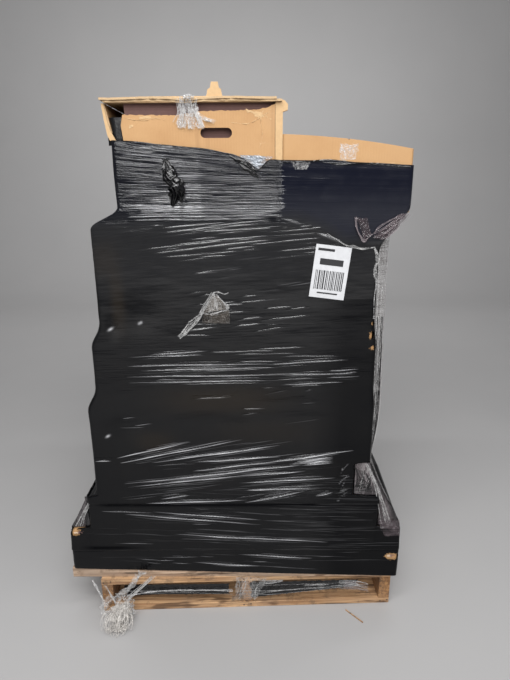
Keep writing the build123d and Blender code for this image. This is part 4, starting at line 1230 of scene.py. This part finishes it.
def build_open_carton():
    """The open carton in torn board: slumped front, split left corner, sagging lid with a tab."""
    u0, u1, v0, v1 = OPEN_LEFT, OPEN_BOX[1], LOW[2], OPEN_BOX[3]
    foot, wall = FLAT_BOX[4] + 1 * MM, 5 * MM
    made = []

    def board(name, outline, place, thickness=wall, material=CARDBOARD, holes=()):
        made.append(plate(f"open_{name}", outline, place, thickness, holes, material))

    def upright(v):
        """Places a plate's outline on the plane at depth v."""
        return lambda a, b, d: (a, v + d, b)

    def left_side(a, b, d):
        return u0 - 0.020 * max(0.0, b - 1.560) / 0.095 + d, a, b

    def lid(low):
        """Places a plate level at height low, sagging a little."""
        return lambda a, b, d: (a, b, low + d + (1.2 * math.sin(a * 31 + 1.1)
                                                 - 3 * math.exp(-((a + 0.100) / 0.03) ** 2)) * MM)

    top = torn([(0.142, 1.651), (0.128, 1.645), (0.115, 1.641), (0.091, 1.637), (-0.060, 1.634),
                (-0.098, 1.628),
                (-0.123, 1.6245), (-0.268, 1.6265)], 1)
    left = torn([(-0.268, 1.6265), (-0.274, 1.60), (-0.270, 1.566), (-0.272, foot)], 2, 1.0 * MM, 9 * MM)[1:]
    strip = torn([(0.163, 1.655), (0.143, 1.660)], 3)
    side_top = torn([(v1, 1.655), (v0 + 4 * MM, 1.655)], 4)
    board("front", [(0.142, foot)] + top + left, upright(v0), holes=[slot_hole(-0.017, 1.580, 0.086, 0.026)])
    board("corner", [(0.1435, foot), (0.163, foot)] + strip, upright(v0 + 1 * MM), material=PALE_BOARD)
    board("knob", [(0.155, 1.640), (0.164, 1.632), (0.176, 1.636), (0.177, 1.650), (0.168, 1.660),
                   (0.153, 1.664)],
          upright(v0 + 2 * MM), 12 * MM, PALE_BOARD)
    board("left", [(v0 + 16 * MM, 1.560), (v1, 1.560)] + side_top + [(v0 + 4 * MM, 1.60)], left_side)
    board("left_low", [(v0 + 30 * MM, foot), (v1, foot), (v1, 1.561), (v0 + 16 * MM, 1.561)],
          lambda a, b, d: (u0 + d, a, b))
    board("torn_liner", [(-0.290, 1.563), (-0.303, 1.588), (-0.310, 1.612), (-0.316, 1.655), (-0.323, 1.655),
                         (-0.318, 1.612), (-0.312, 1.575), (-0.306, 1.562)], upright(v0 - 1 * MM), 1.2 * MM,
          PALE_BOARD)
    board("right", [(v0 + 6 * MM, foot), (v1, foot), (v1, 1.652), (v0 + 6 * MM, 1.655)],
          lambda a, b, d: (u1 - d, a, b))
    board("back", [(u0, foot), (u1, foot), (u1, 1.650), (u0, 1.652)], upright(v1 - wall))
    flaps = ((v0 - 12 * MM, 1.6630, -0.325, 0.146), (v0 - 8 * MM, 1.6575, -0.316, 0.160))
    for number, (front_v, low, left_u, right_u) in enumerate(flaps):
        edge = torn([(right_u, front_v), (left_u, front_v)], 5 + number, 2.0 * MM, 12 * MM)
        board(f"lid_{number}", [(left_u, v1 + 4 * MM), (right_u, v1 + 4 * MM)] + edge, lid(low), 5.5 * MM,
              PALE_BOARD)
    board("tab", [(-0.043, 1.664), (0.003, 1.664), (0.001, 1.676), (-0.001, 1.687), (-0.006, 1.690),
                  (-0.009, 1.7045), (-0.027, 1.7045), (-0.030, 1.690), (-0.037, 1.686), (-0.039, 1.675)],
          upright(v0 - 8 * MM), material=PALE_BOARD)
    # The inner flap is in the dark shaded board: painted shade inside the carton
    flap_left, flap_right, flap_top = u0 + 0.034, u1 - 0.008, 1.656
    board("inner_flap", [(flap_left, 1.545), (flap_right, 1.545), (flap_right, flap_top),
                         (flap_left, flap_top)],
          lambda a, b, d: (a, v0 + 14 * MM + 0.16 * (flap_top - b) + d, b), 3 * MM, SHADED_FLAP_BOARD)
    for piece in made:
        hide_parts("carton_open_top")

    scuffs = ((-0.240, -0.178, 1.611, 1.6255), (0.060, 0.136, 1.606, 1.640), (-0.255, -0.235, 1.590, 1.604))
    for number, (a0, a1, b0, b1) in enumerate(scuffs):
        patch(f"scuff_{number}", at(v0 - 0.8 * MM, (a0, b0), (a1, b0 + 4 * MM), (a1, b1), (a0, b1)),
              PALE_BOARD,
              110 + number, 0.4 * MM, 0.02, 30, 40, 0.9)
    creases = (((0.128, 1.633), (0.098, 1.616), (0.070, 1.603), (0.024, 1.606)),
               ((0.112, 1.640), (0.104, 1.612), (0.108, 1.575), (0.100, 1.540)),
               ((-0.262, 1.618), (-0.215, 1.612), (-0.180, 1.618), (-0.150, 1.612)))
    for number, points in enumerate(creases):
        ribbon(f"panel_crease_{number}", at(v0 - 0.9 * MM, *points), (0.001, 0.003, 0.002, 0.001), PALE_BOARD,
               130 + number, turns=0.0, pleats=2)
    u, z = np.meshgrid(np.linspace(-0.314, -0.262, 24), np.linspace(1.55, 1.6215, 30))
    sheet = np.stack([u, v0 + 8 * MM + 10 * (u + 0.29) ** 2, z], axis=-1)
    grid_piece("open_inner_film", to_world(sheet), SHINY_BLACK)


def build_label():
    """A white label with plain bars and no lettering, laid on the film."""
    centre_u, centre_z, width, height, tilt = 0.304, 1.200, 0.103, 0.154, math.radians(-7.0)
    face = LOW[2] - 6.5 * MM

    def sheet(name, a0, a1, b0, b1, rows, columns, material=INK, lift=0.5 * MM):
        a, b = np.meshgrid(np.linspace(a0, a1, columns), np.linspace(b0, b1, rows))
        bow = 1.2 * MM * np.sin(b * 30) + 0.8 * MM * np.cos(a * 50 + 1)
        grid = np.stack([centre_u + a * math.cos(tilt) - b * math.sin(tilt), face - lift + bow,
                         centre_z + a * math.sin(tilt) + b * math.cos(tilt)], axis=-1)
        piece = grid_piece(name, to_world(grid), material)
        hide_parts("paper_label")

    sheet("label_sheet", -width / 2, width / 2, -height / 2, height / 2, 24, 16, PAPER, 0.0)
    sheet("label_head_bar", -0.044, 0.004, 0.060, 0.067, 3, 8)
    sheet("label_title_bar", -0.034, 0.034, 0.020, 0.038, 6, 10)
    rng = random.Random(4)
    a, number = -0.042, 0
    while a < 0.040:
        wide = rng.choice((1.8, 1.8, 2.8, 4.0)) * MM
        sheet(f"label_bar_{number}", a, a + wide, -0.052, 0.004, 10, 2)
        a += wide + rng.choice((2.0, 2.6, 3.4)) * MM
        number += 1
    sheet("label_foot_bar", -0.030, 0.030, -0.064, -0.060, 2, 8)


def dress_cad():
    """Materials for the CAD nodes that keep their own shape."""
    for name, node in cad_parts.items():
        if name.startswith("stringer"):
            material = PALLET_Y
        elif "board" in name:
            material = PALLET_X
        elif name.startswith("bearer"):
            material = PLANK_WOOD
        elif name.startswith("carton"):
            material = CARDBOARD
        else:
            continue
        node.data.materials.clear()
        node.data.materials.append(material)


def build_nails():
    """Nail heads on the front ends of the stringers' boards."""
    made_of = plain_material("nail", (0.05, 0.035, 0.028), 0.6, 200.0, 0.4)
    radius = 3 * MM
    turns = np.linspace(0, 2 * math.pi, 9)[:-1]
    for side in ("left", "middle", "right"):
        box = world_box(f"stringer_{side}")
        for part in ("top_lead_board_front", "bottom_lead_board_front"):
            board = world_box(part)
            for letter, shift in (("a", -0.012), ("b", 0.013)):
                x, y = (box[0] + box[1]) / 2 + shift, board[2] - 0.6 * MM
                z = (board[4] + board[5]) / 2 + 0.15 * shift
                ring = [(x + radius * math.cos(a), y, z + radius * math.sin(a)) for a in turns]
                mesh_piece(f"nail_{side}_{part[:3]}_{letter}", ring, [tuple(range(8))], made_of,
                           smooth=False)


def build_torn_corners():
    """Torn layers of board in the two holes at the corners of the base."""
    # The deeper layer is the dark shaded board, painted shade in the hole, with the paper liner over it
    layers = ((SHADED_FLAP_BOARD, 0.008, 0.017, 0.010), (PAPER_LINER, -0.006, 0.013, 0.008))
    for number, (u, z, _, _) in enumerate(TEARS[:2]):
        u = np.clip(u, BASE[0] + 26 * MM, BASE[1] - 26 * MM)
        for layer, (material, shift, wide, tall) in enumerate(layers):
            left, right = u + shift - wide, u + shift + wide
            corners = at(BASE[2] - (0.6 + 0.8 * layer) * MM, (left, z - tall), (right, z - 0.6 * tall),
                         (u + shift + 0.7 * wide, z + tall), (left, z + 0.7 * tall))
            patch(f"torn_corner_{number}_{layer}", corners, material, 140 + 2 * number + layer,
                  1.2 * MM, 0.010, 24, 30, 0.9)


def build_splinter():
    """A sliver of wood on the floor beside the pallet."""
    points = [(0.346, -0.640, 0.001), (0.394, -0.697, 0.001), (0.397, -0.695, 0.001), (0.348, -0.638, 0.001)]
    points += [(x, y, 4 * MM) for x, y, _ in points]
    faces = [(3, 2, 1, 0), (4, 5, 6, 7), (0, 1, 5, 4), (1, 2, 6, 5), (2, 3, 7, 6), (3, 0, 4, 7)]
    mesh_piece("wood_splinter", points, faces, PALLET_X, smooth=False)


def build_stage():
    """Pale floor with a soft rise behind, tube lights and the camera of the photograph."""
    profile = [(-16.0, 0.0), (-6.0, 0.0), (4.2, 0.0)]
    profile += [(4.2 + 2.2 * math.sin(a), 2.2 * (1 - math.cos(a))) for a in np.linspace(0.15, math.pi / 2,
                                                                                        12)]
    profile += [(6.4, 7.0)]
    grid = np.array([[(x, y, z) for x in np.linspace(-12, 12, 3)] for y, z in profile])
    rows, columns = grid.shape[:2]
    mesh = bpy.data.meshes.new("floor")
    mesh.from_pydata([tuple(p) for p in grid.reshape(-1, 3)], [], [tuple(f) for f in grid_faces(rows,
                                                                                                columns)])
    mesh.polygons.foreach_set("use_smooth", [True] * len(mesh.polygons))
    floor = bpy.data.objects.new("floor", mesh)
    bpy.context.scene.collection.objects.link(floor)
    m = Nodes("floor")
    m.set(Base_Color=m.blend(m.noise(1.6, 4.0), colour(0.365, 0.36, 0.36), colour(0.395, 0.388, 0.385)),
          Roughness=0.5)
    mesh.materials.append(m.material)

    world = bpy.data.worlds.new("world")
    world.use_nodes = True
    background = world.node_tree.nodes["Background"]
    background.inputs["Color"].default_value = colour(0.50, 0.505, 0.52)
    background.inputs["Strength"].default_value = 0.45
    bpy.context.scene.world = world

    def lamp(name, place, aim, size, power):
        data = bpy.data.lights.new(name, "AREA")
        data.shape, data.size, data.size_y = "RECTANGLE", size[0], size[1]
        data.energy = power
        light = bpy.data.objects.new(name, data)
        bpy.context.scene.collection.objects.link(light)
        light.location = place
        light.rotation_euler = (Vector(aim) - Vector(place)).to_track_quat("-Z", "Y").to_euler()

    # Tube lights, as (y, height, length)
    rows = ((-1.3, 3.4, 2.4), (-2.1, 3.4, 2.8), (-3.0, 3.4, 3.2), (-4.2, 3.4, 3.8), (-5.8, 3.4, 4.6),
            (-7.8, 3.4, 5.8), (-10.5, 3.4, 7.5))
    radiance, depth = 27.0, 0.16
    for number, (y, height, length) in enumerate(rows):
        power = radiance * math.pi * depth * length
        lamp(f"tube_{number}", (0.3 * (-1) ** number, y, height), (0.0, -0.6, 0.9), (length, depth), power)
    lamp("tube_over", (0.0, 0.4, 3.6), (0.0, 0.2, 1.0), (3.6, 0.14), 35)
    lamp("wall_wash", (0.0, 2.6, 3.4), (0.0, 6.4, 1.6), (7.0, 0.8), 110)

    data = bpy.data.cameras.new("camera")
    data.sensor_fit, data.sensor_height = "VERTICAL", 36.0
    data.lens = 27.04
    camera = bpy.data.objects.new("camera", data)
    bpy.context.scene.collection.objects.link(camera)
    yaw, pitch, roll = (math.radians(a) for a in (-1.685, 16.754, 0.372))
    level = Vector((-math.sin(yaw), math.cos(yaw), 0))
    side = Vector((math.cos(yaw), math.sin(yaw), 0))
    ahead = level * math.cos(pitch) - Vector((0, 0, 1)) * math.sin(pitch)
    down = Vector((0, 0, -1)) * math.cos(pitch) - level * math.sin(pitch)
    right = side * math.cos(roll) + down * math.sin(roll)
    down = down * math.cos(roll) - side * math.sin(roll)
    axes = Matrix((right, -down, -ahead)).transposed().to_4x4()
    camera.matrix_world = Matrix.Translation((-0.0102, -2.0861, 1.4411)) @ axes
    bpy.context.scene.camera = camera
    bpy.context.scene.view_settings.view_transform = "Standard"


build_stage()
dress_cad()
build_film()
build_right_bridge()
build_left_bridge()
build_flank()
build_twist()
build_sash()
build_rim()
build_tail()
build_bundle()
build_fork_film()
build_open_carton()
build_label()
build_nails()
build_torn_corners()
build_splinter()
